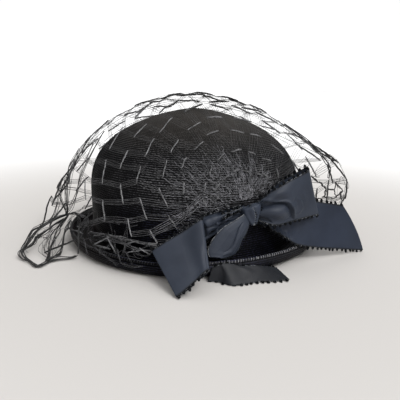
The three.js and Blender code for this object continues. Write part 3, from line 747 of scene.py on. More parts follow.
def brim_line():
    """Middle of the brim's thickness from the crown to its lip, as close points (out, up)."""
    base = CROWN_RADIUS - CROWN_TAPER - STRAW / 2
    floor = STRAW / 2
    turn = np.radians(np.linspace(0, 90, FILLET_POINTS))
    fillet = np.c_[base + BRIM_FILLET * (1 - np.cos(turn)), floor + BRIM_FILLET * (1 - np.sin(turn))]
    roll = np.radians(np.linspace(0, BRIM_ROLL_TURN, ROLL_POINTS))
    start = base + BRIM_FILLET + BRIM_FLAT
    rolled = np.c_[start + BRIM_ROLL * np.sin(roll), floor + BRIM_ROLL * (1 - np.cos(roll))]
    lip = rolled[-1] + np.array([BRIM_LIP_OUT, BRIM_LIP])
    return np.vstack([[base, BRIM_TOP], fillet, rolled, lip])


def even_steps(line, count):
    """The line at an even spacing, with its normal to the left of travel."""
    length = run_along(line)
    at = np.linspace(0.0, length[-1], count)
    points = np.c_[np.interp(at, length, line[:, 0]), np.interp(at, length, line[:, 1])]
    along = unit(np.gradient(points, axis=0))
    return points, np.c_[-along[:, 1], along[:, 0]]


def straw_rows(line, per_row, side):
    """A straw surface with raised rows along it: points (out, up) and row numbers."""
    rows = round(run_along(line)[-1] / ROW_PITCH)
    points, normal = even_steps(line, rows * per_row + 1)
    row = np.arange(len(points)) / per_row
    depth = ROW_RELIEF * (1 - ROW_FADE * smooth_step(points[:, 1], ROW_FADE_FROM, ROW_FADE_TO))
    relief = depth * (np.abs(np.sin(math.pi * row)) ** ROW_ROUND - ROW_LEVEL)
    return points + side * normal * relief[:, None], row


def spun(name, profile, rows, steps, open_at_axis):
    """A profile (out, up) spun round the crown's axis, with its row numbers kept on the points."""
    deselect()
    bpy.ops.mesh.primitive_circle_add(vertices=len(profile), radius=MM, fill_type="NOTHING")
    piece = bpy.context.object
    piece.name = name
    mesh = piece.data
    set_coordinates(mesh, in_frame(np.c_[profile[:, 0], np.zeros(len(profile)), profile[:, 1]]))
    mesh.attributes.new("row", "FLOAT", "POINT").data.foreach_set("value", rows.astype(np.float32))
    if open_at_axis:
        ends = {0, len(profile) - 1}
        for vertex in mesh.vertices:
            vertex.select = vertex.index in ends
        for edge in mesh.edges:
            edge.select = set(edge.vertices) == ends
        bpy.ops.object.mode_set(mode="EDIT")
        bpy.ops.mesh.delete(type="EDGE")
    else:
        bpy.ops.object.mode_set(mode="EDIT")
    bpy.ops.mesh.select_all(action="SELECT")
    bpy.ops.mesh.spin(steps=steps, angle=2 * math.pi, center=AXIS, axis=(0, 0, 1), use_auto_merge=True)
    bpy.ops.mesh.select_all(action="SELECT")
    bpy.ops.mesh.remove_doubles(threshold=MERGE_DISTANCE)
    bpy.ops.mesh.normals_make_consistent(inside=False)
    bpy.ops.object.mode_set(mode="OBJECT")
    bpy.ops.object.shade_smooth()
    return piece


def brim_lift(azimuth):
    start = smooth_step(azimuth, BRIM_LIFT_FROM - BRIM_LIFT_FADE, BRIM_LIFT_FROM)
    end = 1 - smooth_step(azimuth, BRIM_LIFT_TO, BRIM_LIFT_TO + BRIM_LIFT_FADE)
    return BRIM_LIFT * start * end


def uneven(waves, turn, height):
    return sum(depth * np.sin(count * turn + twist * height + phase) for depth, count, twist, phase in waves)


def brim_wider(turn):
    """Share of the brim's extra width at an azimuth in radians."""
    return (0.5 + 0.5 * np.cos(turn - BRIM_WIDER_TOWARD)) ** 1.5


def settled(points):
    """Points of the straw in mm, with the brim's lift and the slight unevenness of hand-blocked straw."""
    p = np.array(points, float)
    out = np.hypot(p[:, 0], p[:, 1])
    turn = np.arctan2(p[:, 1], p[:, 0])
    free = smooth_step(out, CROWN_RADIUS, CROWN_RADIUS + BRIM_FILLET / 2)
    p[:, 2] += free * brim_lift(np.degrees(turn))
    spread = smooth_step(out, CROWN_RADIUS + BRIM_WIDER_FROM, CROWN_RADIUS + BRIM_FILLET + BRIM_FLAT)
    p[:, :2] *= (1 + spread * BRIM_WIDER * brim_wider(turn) / np.maximum(out, 1.0))[:, None]
    wall = smooth_step(p[:, 2], *WAVES_UP) * smooth_step(out, *WAVES_OUT)
    p[:, :2] *= (1 + wall * uneven(STRAW_WAVES, turn, p[:, 2]) / np.maximum(out, 1.0))[:, None]
    edge = smooth_step(out, *WAVES_EDGE)
    p[:, 2] += edge * uneven(EDGE_WAVES, turn, p[:, 2])
    return p


def settle(piece):
    points = (coordinates(piece.data) - AXIS) / MM
    set_coordinates(piece.data, in_frame(settled(points)))


def make_crown():
    outside, outside_rows = straw_rows(crown_line(0.0), CROWN_ROW_POINTS, 1)
    inside, inside_rows = straw_rows(crown_line(STRAW), INSIDE_ROW_POINTS, -1)
    for side in (outside, inside):
        side[-1, 0] = 0.0
        side[:, 0] = side[:, 0].clip(0)
    profile = np.vstack([inside[::-1], outside])
    rows = np.r_[inside_rows[::-1], outside_rows]
    piece = spun("straw_crown", profile, rows, STRAW_STEPS, True)
    settle(piece)
    finished(piece, STRAW_FINISH, "straw", "crown")


def make_brim():
    points, normal = even_steps(brim_line(), BRIM_POINTS)
    upper, upper_rows = straw_rows(points + normal * STRAW / 2, BRIM_ROW_POINTS, 1)
    under, under_rows = straw_rows(points - normal * STRAW / 2, BRIM_ROW_POINTS, -1)
    under[:, 1] = np.maximum(under[:, 1], BRIM_LOWEST)
    profile = np.vstack([upper, under[::-1]])
    rows = np.r_[upper_rows, under_rows[::-1]]
    piece = spun("straw_brim", profile, rows, STRAW_STEPS, False)
    settle(piece)
    finished(piece, STRAW_FINISH, "straw", "brim")


def edge_middle():
    lip = brim_line()[-1]
    return lip[0], lip[1] + EDGE_BEAD + EDGE_GAP


def make_edge():
    out, up = edge_middle()
    turn = np.linspace(0, 2 * math.pi, EDGE_SIDES, endpoint=False)
    profile = np.c_[out + EDGE_BEAD * np.cos(turn), up + EDGE_BEAD_TALL * EDGE_BEAD * np.sin(turn)]
    piece = spun("sewn_edge", profile, np.linspace(0, 2, EDGE_SIDES), EDGE_STEPS, False)
    settle(piece)
    finished(piece, STRAW_FINISH, "straw", "brim_edge")


def make_edge_stitches():
    out, up = edge_middle()
    over = np.radians(np.linspace(*STITCH_TURN, STITCH_POINTS))
    radius = out + (EDGE_BEAD + STITCH_PROUD) * np.cos(over)
    height = up + (EDGE_BEAD + STITCH_PROUD) * np.sin(over)
    paths = []
    for k in range(STITCH_COUNT):
        start = 2 * math.pi * (k + STITCH_JITTER * draw.normal()) / STITCH_COUNT
        azimuth = start + np.linspace(0, STITCH_SLANT, STITCH_POINTS) * 2 * math.pi / STITCH_COUNT
        path = settled(np.c_[radius * np.cos(azimuth), radius * np.sin(azimuth), height])
        paths.append((path, STITCH_THREAD))
    strands("edge_stitches", paths, STITCH_SIDES, STITCH_FINISH, "straw")


# Strands and curves
def strands(name, paths, sides, finish, slot, *nodes):
    """Tubes along paths of (points, radius), in one mesh; paths with as many points are made together."""
    groups = {}
    for path, radius in paths:
        groups.setdefault(len(path), []).append((path, radius))
    points = []
    quads = []
    caps = []
    count = 0
    around = np.arange(sides)
    after = (around + 1) % sides
    for length, group in groups.items():
        tube = tubes(np.array([path for path, _ in group]), np.array([radius for _, radius in group]), sides)
        points.append(tube.reshape(-1, 3))
        first = count + np.arange(len(group))[:, None] * (length * sides)
        row = first + np.arange(length - 1)[None, :] * sides
        row = row.reshape(-1, 1)
        faces = np.stack([row + around, row + after, row + sides + after, row + sides + around], axis=2)
        quads.append(faces.reshape(-1, 4))
        caps.append(first + around[::-1])
        caps.append(first + (length - 1) * sides + around)
        count += len(group) * length * sides
    points = np.vstack(points)
    points[:, 2] = np.maximum(points[:, 2], LOWEST)
    piece = joined_mesh(name, points, [np.vstack(quads), np.vstack(caps)])
    finished(piece, finish, slot, *nodes)
    return piece


def tubes(paths, radius, sides):
    ring = 2 * math.pi * np.arange(sides) / sides
    along = unit(np.gradient(paths, axis=1))
    side = np.cross(along[:, 0], (0.0, 0.0, 1.0))
    upright = np.linalg.norm(side, axis=1) < 1e-3
    side[upright] = (1.0, 0.0, 0.0)
    made = np.empty((*paths.shape[:2], sides, 3))
    for i in range(paths.shape[1]):
        t = along[:, i]
        side = unit(side - t * (side * t).sum(axis=1)[:, None])
        other = np.cross(t, side)
        turn = np.cos(ring)[:, None] * side[:, None] + np.sin(ring)[:, None] * other[:, None]
        made[:, i] = paths[:, i, None] + radius[:, None, None] * turn
    return made


def curve_through(points, count):
    """A smooth curve through points, in even shares of their rows."""
    return curve_at(points, np.linspace(0, 1, count))


def curve_at(points, share):
    """Centripetal curve through points, at shares from 0 to 1 along its rows."""
    p = np.asarray(points, float)
    last = len(p) - 1
    place = np.clip(share, 0.0, 1.0) * last
    i = np.minimum(place.astype(int), last - 1)
    w = (place - i)[:, None]
    longer = np.vstack([2 * p[0] - p[1], p, 2 * p[-1] - p[-2]])
    p0, p1, p2, p3 = (longer[i + k] for k in range(4))
    steps = (p1 - p0, p2 - p1, p3 - p2)
    d0, d1, d2 = (np.maximum(np.sqrt(np.linalg.norm(step, axis=1)), 1e-3)[:, None] for step in steps)
    t1 = ((p1 - p0) / d0 - (p2 - p0) / (d0 + d1) + (p2 - p1) / d1) * d1
    t2 = ((p2 - p1) / d1 - (p3 - p1) / (d1 + d2) + (p3 - p2) / d2) * d1
    c2 = -3 * p1 + 3 * p2 - 2 * t1 - t2
    c3 = 2 * p1 - 2 * p2 + t1 + t2
    return p1 + w * (t1 + w * (c2 + w * c3))


# Bow
KNOT_OUTWARD = np.array([math.cos(BOW_AZIMUTH), math.sin(BOW_AZIMUTH), 0.0])
KNOT_TANGENT = np.array([-math.sin(BOW_AZIMUTH), math.cos(BOW_AZIMUTH), 0.0])


def on_bow(points):
    p = np.asarray(points, float)
    reach = BOW_RADIUS + p[..., 1]
    x = reach * math.cos(BOW_AZIMUTH) - p[..., 0] * math.sin(BOW_AZIMUTH)
    y = reach * math.sin(BOW_AZIMUTH) + p[..., 0] * math.cos(BOW_AZIMUTH)
    return np.stack([x, y, p[..., 2]], axis=-1)


def from_bow(points):
    p = np.asarray(points, float)
    outward = p[..., 0] * math.cos(BOW_AZIMUTH) + p[..., 1] * math.sin(BOW_AZIMUTH) - BOW_RADIUS
    along = -p[..., 0] * math.sin(BOW_AZIMUTH) + p[..., 1] * math.cos(BOW_AZIMUTH)
    return np.stack([along, outward, p[..., 2]], axis=-1)


def ribbon_grid(stations, rows, columns, profile, waves):
    """Points of a ribbon's middle, row by row along it and across it, in mm."""
    top, low = (on_bow([s[k] for s in stations]) for k in range(2))
    share = np.linspace(0, 1, rows + 1)
    a = curve_at(top, share)
    b = curve_at(low, share)
    middle = (top + low) / 2
    along = curve_at(middle, share + HEADING_STEP) - curve_at(middle, share - HEADING_STEP)
    across = b - a
    width = np.linalg.norm(across, axis=1)[:, None]
    out = unit(np.cross(across, along))
    station = share * (len(stations) - 1)
    arc, pleat = (np.interp(station, range(len(stations)), [s[k] for s in stations]) for k in (2, 3))
    half = np.radians(np.maximum(np.abs(arc), LEAST_ARC))[:, None] / 2
    radius = width / 2 / np.sin(half)
    v = np.linspace(0, 1, columns + 1)[None, :]
    turn = half * (2 * v - 1)
    place = 0.5 + radius * np.sin(turn) / width
    if profile:
        bulge = radius * (1 - np.cos(half)) * np.interp(v, *zip(*profile))
    else:
        bulge = radius * (np.cos(turn) - np.cos(half))
    away = np.sign(arc)[:, None] * bulge + pleat[:, None] * np.sin(2 * math.pi * waves * v)
    return a[:, None] + place[..., None] * across[:, None] + away[..., None] * out[:, None]


def grid_normals(grid):
    return unit(np.cross(np.gradient(grid, axis=0), np.gradient(grid, axis=1)))


def cloth_piece(name, grid, smoothed):
    """A cloth sheet from a grid, smoothed if asked and thickened, with a UV map in mm of the flat ribbon."""
    rows = grid.shape[0] - 1
    columns = grid.shape[1] - 1
    deselect()
    bpy.ops.mesh.primitive_grid_add(x_subdivisions=columns, y_subdivisions=rows, size=2.0, calc_uvs=True)
    piece = bpy.context.object
    piece.name = name
    mesh = piece.data
    flat = coordinates(mesh)
    i = np.rint((flat[:, 1] + 1) / 2 * rows).astype(int)
    j = np.rint((flat[:, 0] + 1) / 2 * columns).astype(int)
    set_coordinates(mesh, in_frame(grid[i, j]))
    along = run_along(grid)
    mesh.uv_layers[0].name = "cloth"
    corner = np.zeros(len(mesh.loops), int)
    mesh.loops.foreach_get("vertex_index", corner)
    uv = np.c_[along[i[corner]], j[corner] / columns * RIBBON_WIDTH]
    mesh.uv_layers[0].data.foreach_set("uv", uv.ravel())
    steps = [("SOLIDIFY", {"thickness": RIBBON_THICK * MM, "offset": 0.0, "use_even_offset": False})]
    if smoothed:
        steps.insert(0, ("SUBSURF", {"levels": 1, "render_levels": 1}))
    for kind, settings in steps:
        modifier = piece.modifiers.new(kind.lower(), kind)
        for key, value in settings.items():
            setattr(modifier, key, value)
        bpy.ops.object.modifier_apply(modifier=modifier.name)
    bpy.ops.object.shade_smooth()
    return piece


def crease_shape(kind, side, away):
    """Height of a crease across it, by its side and the distance from its middle as shares of its width."""
    if kind == "fold":
        return side * np.tanh(away) * np.exp(-away / FOLD_FALL)
    ridge = np.exp(-(away**2))
    if kind == "ridge":
        return ridge
    return ridge - DIP_DEPTH * np.exp(-(((away - DIP_PLACE) / DIP_WIDTH) ** 2))


def creased(grid, creases):
    """The ribbon with creases pressed into it, each along a curve of (place along, place across) shares."""
    rows = grid.shape[0]
    length = run_along(grid)
    u = length[:, None] + np.zeros(grid.shape[1])
    v = np.linspace(0, RIBBON_WIDTH, grid.shape[1])[None, :] + np.zeros((rows, 1))
    normal = -grid_normals(grid)
    moved = grid.copy()
    for kind, width, depth, (fade_in, fade_out), guide in creases:
        path = curve_through(guide, CREASE_POINTS)
        path = np.c_[np.interp(path[:, 0], np.linspace(0, 1, rows), length), path[:, 1] * RIBBON_WIDTH]
        heading = np.gradient(path, axis=0)
        away = np.full(u.shape, np.inf)
        near = np.zeros(u.shape)
        side = np.zeros(u.shape)
        for k, ((a, b), (da, db)) in enumerate(zip(path, heading)):
            distance = np.hypot(u - a, v - b)
            closer = distance < away
            near = np.where(closer, k / (CREASE_POINTS - 1), near)
            side = np.where(closer, np.sign(db * (u - a) - da * (v - b)), side)
            away = np.where(closer, distance, away)
        fade = np.clip(np.minimum(near / fade_in, (1 - near) / fade_out), 0, 1)
        moved += (depth * np.sqrt(fade) * crease_shape(kind, side, away / width))[..., None] * normal
    return moved


def picots(grid, edge, proud=0.0):
    """Thread loops and fine scallops along a column of a ribbon grid: 0 is the top edge, -1 the low one."""
    line = grid[:, edge]
    inner = grid[:, edge + 1] if edge >= 0 else grid[:, edge - 1]
    length = run_along(line)
    out = unit(line - inner)
    along = unit(np.gradient(line, axis=0))
    normal = np.cross(along, out)
    line = line + proud * normal

    def at(distance, field):
        return np.array([np.interp(distance, length, field[:, k]) for k in range(3)])

    turn = np.linspace(-0.25 * math.pi, 1.25 * math.pi, PICOT_POINTS)
    loops = []
    scallops = []
    for paths, pitch, height, half, thread in (
        (loops, PICOT_PITCH, PICOT_HEIGHT, PICOT_HALF, PICOT_THREAD),
        (scallops, SELVEDGE_PITCH, SELVEDGE_HEIGHT, SELVEDGE_HALF, SELVEDGE_THREAD),
    ):
        for distance in np.arange(pitch / 2, length[-1], pitch):
            place = distance + PICOT_SHIFT * pitch * draw.normal()
            tall = height * (1 + PICOT_UNEVEN * draw.normal())
            tilt = PICOT_TILT * draw.normal()
            wide = half * np.cos(turn)
            up = tall * (PICOT_MIDDLE + (1 - PICOT_MIDDLE) * np.sin(turn)) - PICOT_SUNK
            base, a, o, n = (at(place, field) for field in (line, along, out, normal))
            paths.append((base + wide[:, None] * a + up[:, None] * (o + tilt * n), thread))
    loops.append((line + PICOT_CORD_OUT * out, PICOT_CORD))
    return loops, scallops


def make_ribbon(
    node, stations, size, creases, *,
    waves=2, profile=(), edges=(0, -1), hems=(), inner=(), finish=TAFFETA_FINISH, rounded=0.0,
):
    """One ribbon of the bow with its picots; size is the rows and columns of its grid."""
    grid = creased(ribbon_grid(stations, *size, profile, waves), creases)
    across = np.linspace(0, 1, grid.shape[1])[None, :]
    ending = np.linspace(0, 1, grid.shape[0])[:, None] ** ENDING_POWER * 4 * across * (1 - across)
    heading = unit(grid[-1] - grid[-ENDING_ROWS])
    grid += (rounded * ending)[..., None] * heading[None]
    grid[..., 2] = np.maximum(grid[..., 2], LOWEST + RIBBON_THICK / 2)
    name = node.replace("bow_", "ribbon_")
    piece = cloth_piece(name, grid, False)
    finished(piece, finish, "ribbon", node)
    edgings = [picots(grid, edge) for edge in edges]
    edgings += [picots(grid[start:stop], column, FOLD_PICOT_PROUD) for column, start, stop in inner]
    edgings += [((), picots(grid, edge)[1]) for edge in hems]
    large = [path for loops, _ in edgings for path in loops]
    fine = [path for _, scallops in edgings for path in scallops]
    trim = strands(name + "_picots", large, PICOT_SIDES, PICOT_FINISH, "ribbon")
    selvedge = strands(name + "_selvedge", fine, PICOT_SIDES, SELVEDGE_FINISH, "ribbon")


def knot_grid():
    """Points of the knot's band, round it and up it, and the line of the seam between its halves."""
    turn = np.linspace(0, 2 * math.pi, KNOT_SIDES + 1)
    front = np.maximum(np.sin(turn), 0) ** KNOT_FRONT_POWER
    across = np.sign(np.cos(turn)) * np.abs(np.cos(turn)) ** KNOT_WIDTH_POWER
    power = np.where((across < 0) & (np.sin(turn) > 0), KNOT_LEFT_POWER, KNOT_DEPTH_POWER)
    deep = np.sign(np.sin(turn)) * np.abs(np.sin(turn)) ** power
    line = []
    grid = np.empty((KNOT_SIDES + 1, len(KNOT_ROW_HEIGHTS), 3))
    for k, (share, full) in enumerate(zip(KNOT_ROW_HEIGHTS, KNOT_ROW_SIZES)):
        left_edge = np.interp(share, KNOT_SHARES, KNOT_LEFT_EDGE)
        right_edge = np.interp(share, KNOT_SHARES, KNOT_RIGHT_EDGE)
        seam = np.interp(share, KNOT_SHARES, KNOT_SEAM)
        left = np.clip((across + 1) / (seam + 1), 0, 1)
        right = np.clip((across - seam) / (1 - seam), 0, 1)
        over = 1 - smooth_step(across, seam - KNOT_SEAM_BACK, seam + KNOT_SEAM_STEP)
        left_facet = KNOT_LEFT_FACET[0] * left + KNOT_LEFT_FACET[1]
        right_facet = KNOT_RIGHT_FACET[0] * np.sin(math.pi * right**KNOT_RIGHT_POWER) + KNOT_RIGHT_FACET[1]
        ripple = KNOT_RIPPLE[0] * np.sin(KNOT_RIPPLE[1] * across + KNOT_RIPPLE[2] * share)
        facet = over * (left_facet + ripple) + (1 - over) * right_facet
        along = (left_edge + right_edge) / 2 + full * across * (right_edge - left_edge) / 2
        outward = KNOT_MIDDLE + full * KNOT_HALF_DEPTH * deep + full * front * facet
        fall = KNOT_LEFT_FALL * np.maximum(-across, 0) + KNOT_BACK_FALL * np.maximum(-deep * full, 0)
        up = KNOT_LOW + (KNOT_BAND_TOP - KNOT_LOW) * share - share * fall
        grid[:, k] = on_bow(np.c_[along, outward, up])
        line.append(grid[np.abs(across[: KNOT_SIDES // 2] - seam - KNOT_SEAM_STEP).argmin(), k])
    return grid, np.array(line)


def make_knot():
    """The knot: a band of ribbon round the gathers, its left part laid over the right one."""
    grid, line = knot_grid()
    piece = cloth_piece("bow_knot_band", grid, True)
    deselect()
    piece.select_set(True)
    bpy.context.view_layer.objects.active = piece
    bpy.ops.object.mode_set(mode="EDIT")
    bpy.ops.mesh.select_all(action="SELECT")
    bpy.ops.mesh.remove_doubles(threshold=KNOT_MERGE_DISTANCE)
    bpy.ops.object.mode_set(mode="OBJECT")
    finished(piece, TAFFETA_KNOT_PAINTED_LIGHT_FINISH, "ribbon", "bow_knot")
    seam = curve_through(line[KNOT_SEAM_ROWS], 40) + KNOT_SEAM_PROUD * KNOT_OUTWARD
    half_turn = np.linspace(0, math.pi, 6)[:, None]
    arch = KNOT_TANGENT * (ARCH_HALF * np.cos(half_turn) - ARCH_SHIFT)
    arch = arch + KNOT_OUTWARD * ARCH_HEIGHT * np.sin(half_turn)
    arches = [(place + arch, KNOT_SEAM_THREAD) for place in seam[2:-2:3]]
    arches.insert(0, (seam, KNOT_SEAM_THREAD))
    trim = strands("bow_knot_picots", arches, PICOT_SIDES, SELVEDGE_FINISH, "ribbon")
    side = curve_through(grid[round(KNOT_SIDES * KNOT_SIDE_SHARE), KNOT_SIDE_ROWS], 30)
    turn = np.linspace(0, 2 * math.pi, 8)[:, None]
    loop = KNOT_TANGENT * (SIDE_LOOP_OUT + SIDE_LOOP * np.cos(turn))
    loop = loop + KNOT_OUTWARD * (SIDE_LOOP_OUT + SIDE_LOOP * np.sin(turn))
    places = [*side[1:-1:4], *(seam[1:26:4] + SEAM_LOOP_ASIDE * KNOT_TANGENT - SEAM_LOOP_SUNK * KNOT_OUTWARD)]
    loops = [(place + loop, PICOT_CORD) for place in places]
    loops.insert(0, (side, KNOT_SIDE_THREAD))
    rim = strands("bow_knot_edge", loops, PICOT_SIDES, PICOT_FINISH, "ribbon")


# Veil
KNOT_DIRECTION = unit(on_bow((0.0, 0.0, (KNOT_TOP + KNOT_LOW) / 2 + NET_GATHER_RISE)) - NET_CENTRE)
KNOT_RIGHT = unit(np.cross((0.0, 0.0, 1.0), KNOT_DIRECTION))
KNOT_UP = np.cross(KNOT_DIRECTION, KNOT_RIGHT)


def crown_out(up):
    """The crown's radius at a height."""
    share = np.maximum(up - CROWN_SHOULDER, 0) / (CROWN_HEIGHT - CROWN_SHOULDER)
    return CROWN_RADIUS * np.maximum(1 - share**CROWN_POWER_UP, 0) ** (1 / CROWN_POWER_OUT)


def crown_reach(rise):
    """Distance from the net's centre to the crown, at a rise in radians, by halving."""
    inside = np.full(np.shape(rise), CROWN_RADIUS / 2)
    outside = np.full(np.shape(rise), CROWN_RADIUS * 2)
    for _ in range(REACH_HALVINGS):
        reach = (inside + outside) / 2
        covered = reach * np.cos(rise) < crown_out(NET_CENTRE[2] + reach * np.sin(rise))
        inside = np.where(covered, reach, inside)
        outside = np.where(covered, outside, reach)
    return inside


def net_reach(direction):
    """Distance from the net's centre to the veil in a direction."""
    rise = np.arcsin(np.clip(direction[..., 2], -1, 1))
    azimuth = np.degrees(np.arctan2(direction[..., 1], direction[..., 0])) % 360
    front = smooth_step(azimuth, *FRONT_FROM) * (1 - smooth_step(azimuth, *FRONT_TO))
    below = 1 - smooth_step(np.degrees(rise), *FRONT_UP)
    away = NET_CLOSE + NET_LOFT * (1 - front * below)
    for puff in PUFFS.values():
        across = np.abs((azimuth - puff["azimuth"] + 540) % 360 - 180) / puff["across"]
        upward = (np.degrees(rise) - puff["rise"]) / puff["upward"]
        away = away + puff["depth"] * np.exp(-across * across - upward * upward)
    from_knot = np.degrees(np.arccos(np.clip(direction @ KNOT_DIRECTION, -1, 1)))
    share = smooth_step(from_knot, *GATHER_FADE)
    return crown_reach(rise) + NET_GATHER_CLOSE * (1 - share) + away * share


def veil_at(direction, lift):
    """Points of the veil in directions from the net's centre, lifted off its surface."""
    p = direction * (net_reach(direction) + lift)[..., None] + NET_CENTRE
    p[..., 2] = np.maximum(p[..., 2], NET_FLOOR)
    return p


def on_net(from_knot, around, lift):
    """Points of the veil by their angle from the knot and round it, in degrees."""
    f = np.radians(np.asarray(from_knot, float))[..., None]
    a = np.radians(np.asarray(around, float))[..., None]
    direction = np.cos(f) * KNOT_DIRECTION + np.sin(f) * (np.sin(a) * KNOT_UP - np.cos(a) * KNOT_RIGHT)
    return veil_at(direction, lift)


def on_veil(azimuth, rise, lift):
    """Points of the veil by azimuth and rise, in degrees."""
    a = np.radians(azimuth)
    r = np.radians(rise)
    direction = np.stack([np.cos(r) * np.cos(a), np.cos(r) * np.sin(a), np.sin(r)], axis=-1)
    return veil_at(direction, lift)


def ring_from_knot(ring, around):
    base = NET_RINGS[ring]
    return base + NET_LEAN * np.cos(np.radians(around - NET_LEAN_TOWARD)) * smooth_step(base, *LEAN_FADE)


# Outline of the bow that the net keeps clear of: by place along it, its height and how far back it reaches
BOW_ALONG = (-80, -70, -46, -37, -16, 0, 17, 38, 48, 60, 84, 100)
BOW_HEIGHT = (20, 25, 37, 45.5, 52.5, 55.2, 63.6, 73, 77, 60, 46, 30)
BOW_BACK = (-21, -20, -14.5, -12, -8.8, -10.1, -10.4, -12.2, -12, -10, -6, -4)
BOW_ENDS = (-76, 96)
BOW_CLEARANCE = 0.6
LEAST_RUN = 4
# The same for the gathered net, which lies close on the crown behind the loops
GATHER_HEIGHT = (20, 25, 37, 45.5, 50.6, 51.6, 54.2, 56, 58, 58, 46, 30)


def net_is_clear(points, heights=BOW_HEIGHT):
    along, outward, height = np.moveaxis(from_bow(points), -1, 0)
    within = (along > BOW_ENDS[0]) & (along < BOW_ENDS[1])
    near = outward > np.interp(along, BOW_ALONG, BOW_BACK)
    below = height < np.interp(along, BOW_ALONG, heights) + BOW_CLEARANCE
    return ~(within & near & below)


def over_brim(points):
    """Points of the net, lifted where they would lie below the slack net across the brim."""
    p = np.array(points, float)
    out = np.hypot(p[..., 0], p[..., 1])
    p[..., 2] = np.maximum(p[..., 2], np.interp(out, SLACK_OUT, SLACK_UP))
    return p


def is_loose(point):
    return math.hypot(point[0], point[1]) > LOOSE_OUT or point[2] > LOOSE_UP or point[1] > LOOSE_BACK


def rope(start, end, lift):
    """A stick of the net: threads twisted round each other, tapering at both ends."""
    t = np.linspace(0, 1, ROPE_POINTS)
    line = start + t[:, None] * (end - start) + (4 * t * (1 - t) * ROPE_ARCH)[:, None] * lift
    line = line + np.sin(2 * math.pi * t)[:, None] * draw.normal(0, ROPE_WANDER, 3)
    thick = NET_LOOSE_ROPE if is_loose((start + end) / 2) else draw.uniform(*NET_ROPE_SHARES)
    along = unit(end - start)
    side = unit(np.cross(along, lift))
    other = np.cross(along, side)
    spread = thick * NET_ROPE * (ROPE_END + (1 - ROPE_END) * np.sin(math.pi * t) ** 0.5)
    paths = []
    for k in range(NET_STRANDS_IN_ROPE):
        turn = 2 * math.pi * (k / NET_STRANDS_IN_ROPE + ROPE_TURNS * t)
        around = np.cos(turn)[:, None] * side + np.sin(turn)[:, None] * other
        paths.append((line + spread[:, None] * around, thick * NET_ROPE_THREAD))
    return paths


def band(start, end, start_in, end_in, lift, spread):
    """A link of the net: threads side by side, each leaving its stick a little further in."""
    t = np.linspace(0, 1, BAND_POINTS)
    arch = np.sin(math.pi * t)
    ripple = np.sin(2 * math.pi * t)
    sag = draw.normal(0, BAND_SAG)
    side = unit(np.cross(end - start, lift))
    step = NET_BAND_STEP * spread
    thread = NET_LOOSE_THREAD if is_loose((start + end) / 2) else NET_THREAD / spread**0.5
    paths = []
    for k in range(NET_STRANDS_IN_BAND):
        a = start + start_in * step * (NET_STRANDS_IN_BAND - 1 - k)
        b = end + end_in * step * k
        across = BAND_SWAY * draw.normal() * arch + BAND_RIPPLE * draw.normal() * ripple
        away = (sag + BAND_LIFT * draw.normal()) * arch
        paths.append((a + t[:, None] * (b - a) + across[:, None] * side + away[:, None] * lift, thread))
    return paths


def net_corners():
    """Ends of the net's sticks by (ring, place, end), with the small unevenness of hanging net."""
    corners = {}
    step = 360 / NET_AROUND
    for ring in range(NET_FIRST_RING, len(NET_RINGS)):
        for place in range(NET_AROUND):
            wander = draw.normal(0, NET_WANDER, 2)
            for end in (-1, 1):
                around = (place + (ring % 2) / 2 + end * NET_STICK) * step + NET_PHASE
                around += 2 * NET_WANDER * draw.normal() + wander[0]
                base = ring_from_knot(ring, around) + NET_WANDER * draw.normal() + wander[1]
                corners[ring, place, end] = over_brim(on_net(base, around, NET_LIFT_WANDER * draw.normal()))
    return corners


def make_net():
    """The veil's net: sticks in rings round the knot, and bands of thread that link each ring to the next."""
    corners = net_corners()

    def inward(key):
        ring, place, end = key
        return unit(corners[ring, place, -end] - corners[key])

    ropes = []
    bands = []
    for ring in range(NET_FIRST_RING, len(NET_RINGS)):
        spread = np.interp(ring, BAND_SPREAD_RINGS, BAND_SPREADS)
        for place in range(NET_AROUND):
            start, end = corners[ring, place, -1], corners[ring, place, 1]
            if kept(start, end):
                ropes += rope(start, end, lift_at(start, end))
            if ring + 1 == len(NET_RINGS):
                continue
            left = place - 1 + ring % 2
            for near, far in (
                ((ring, place, -1), (ring + 1, left % NET_AROUND, 1)),
                ((ring, place, 1), (ring + 1, (left + 1) % NET_AROUND, -1)),
            ):
                start, end = corners[near], corners[far]
                if kept(start, end) and not is_draped(start, end):
                    bands += band(start, end, inward(near), inward(far), lift_at(start, end), spread)
    strands("veil_net", outside_crown(ropes), NET_SIDES, NET_KNOT_FINISH, "net", "veil")
    strands("veil_threads", outside_crown(bands), NET_SIDES, NET_FINISH, "net")


def outside_crown(paths):
    """The strands that don't pass inside the crown's wall."""
    return [
        (line, radius)
        for line, radius in paths
        if not ((np.hypot(line[:, 0], line[:, 1]) < CROWN_RADIUS) & (line[:, 2] < WALL_TOP)).any()
    ]


def lift_at(start, end):
    return unit((start + end) / 2 - NET_CENTRE)


def kept(start, end):
    """Whether a piece of net is made: clear of bow and brim, off the surface and not past the brim."""
    line = np.linspace(start, end, 5)
    in_brim = (over_brim(line)[:, 2] > line[:, 2] + SLACK_DEPTH).any()
    x, y, z = line[2]
    under_bow = x > UNDER_BOW_X and y < UNDER_BOW_Y and z < WALL_TOP
    off_surface = max(start[2], end[2]) > NET_FLOOR + OFF_SURFACE
    outside = math.hypot(x, y) > PAST_BRIM_OUT and z < PAST_BRIM_UP
    past_brim = outside and y > PAST_BRIM_Y and x < PAST_BRIM_X
    return net_is_clear(line).all() and off_surface and not (in_brim or under_bow or past_brim)


def is_draped(start, end):
    """Whether a band lies on the brim at the front left, where the draped net has strands of its own."""
    x, y, z = (start + end) / 2
    return math.hypot(x, y) > DRAPED_OUT and z < DRAPED_UP and y < DRAPED_Y and x < 0


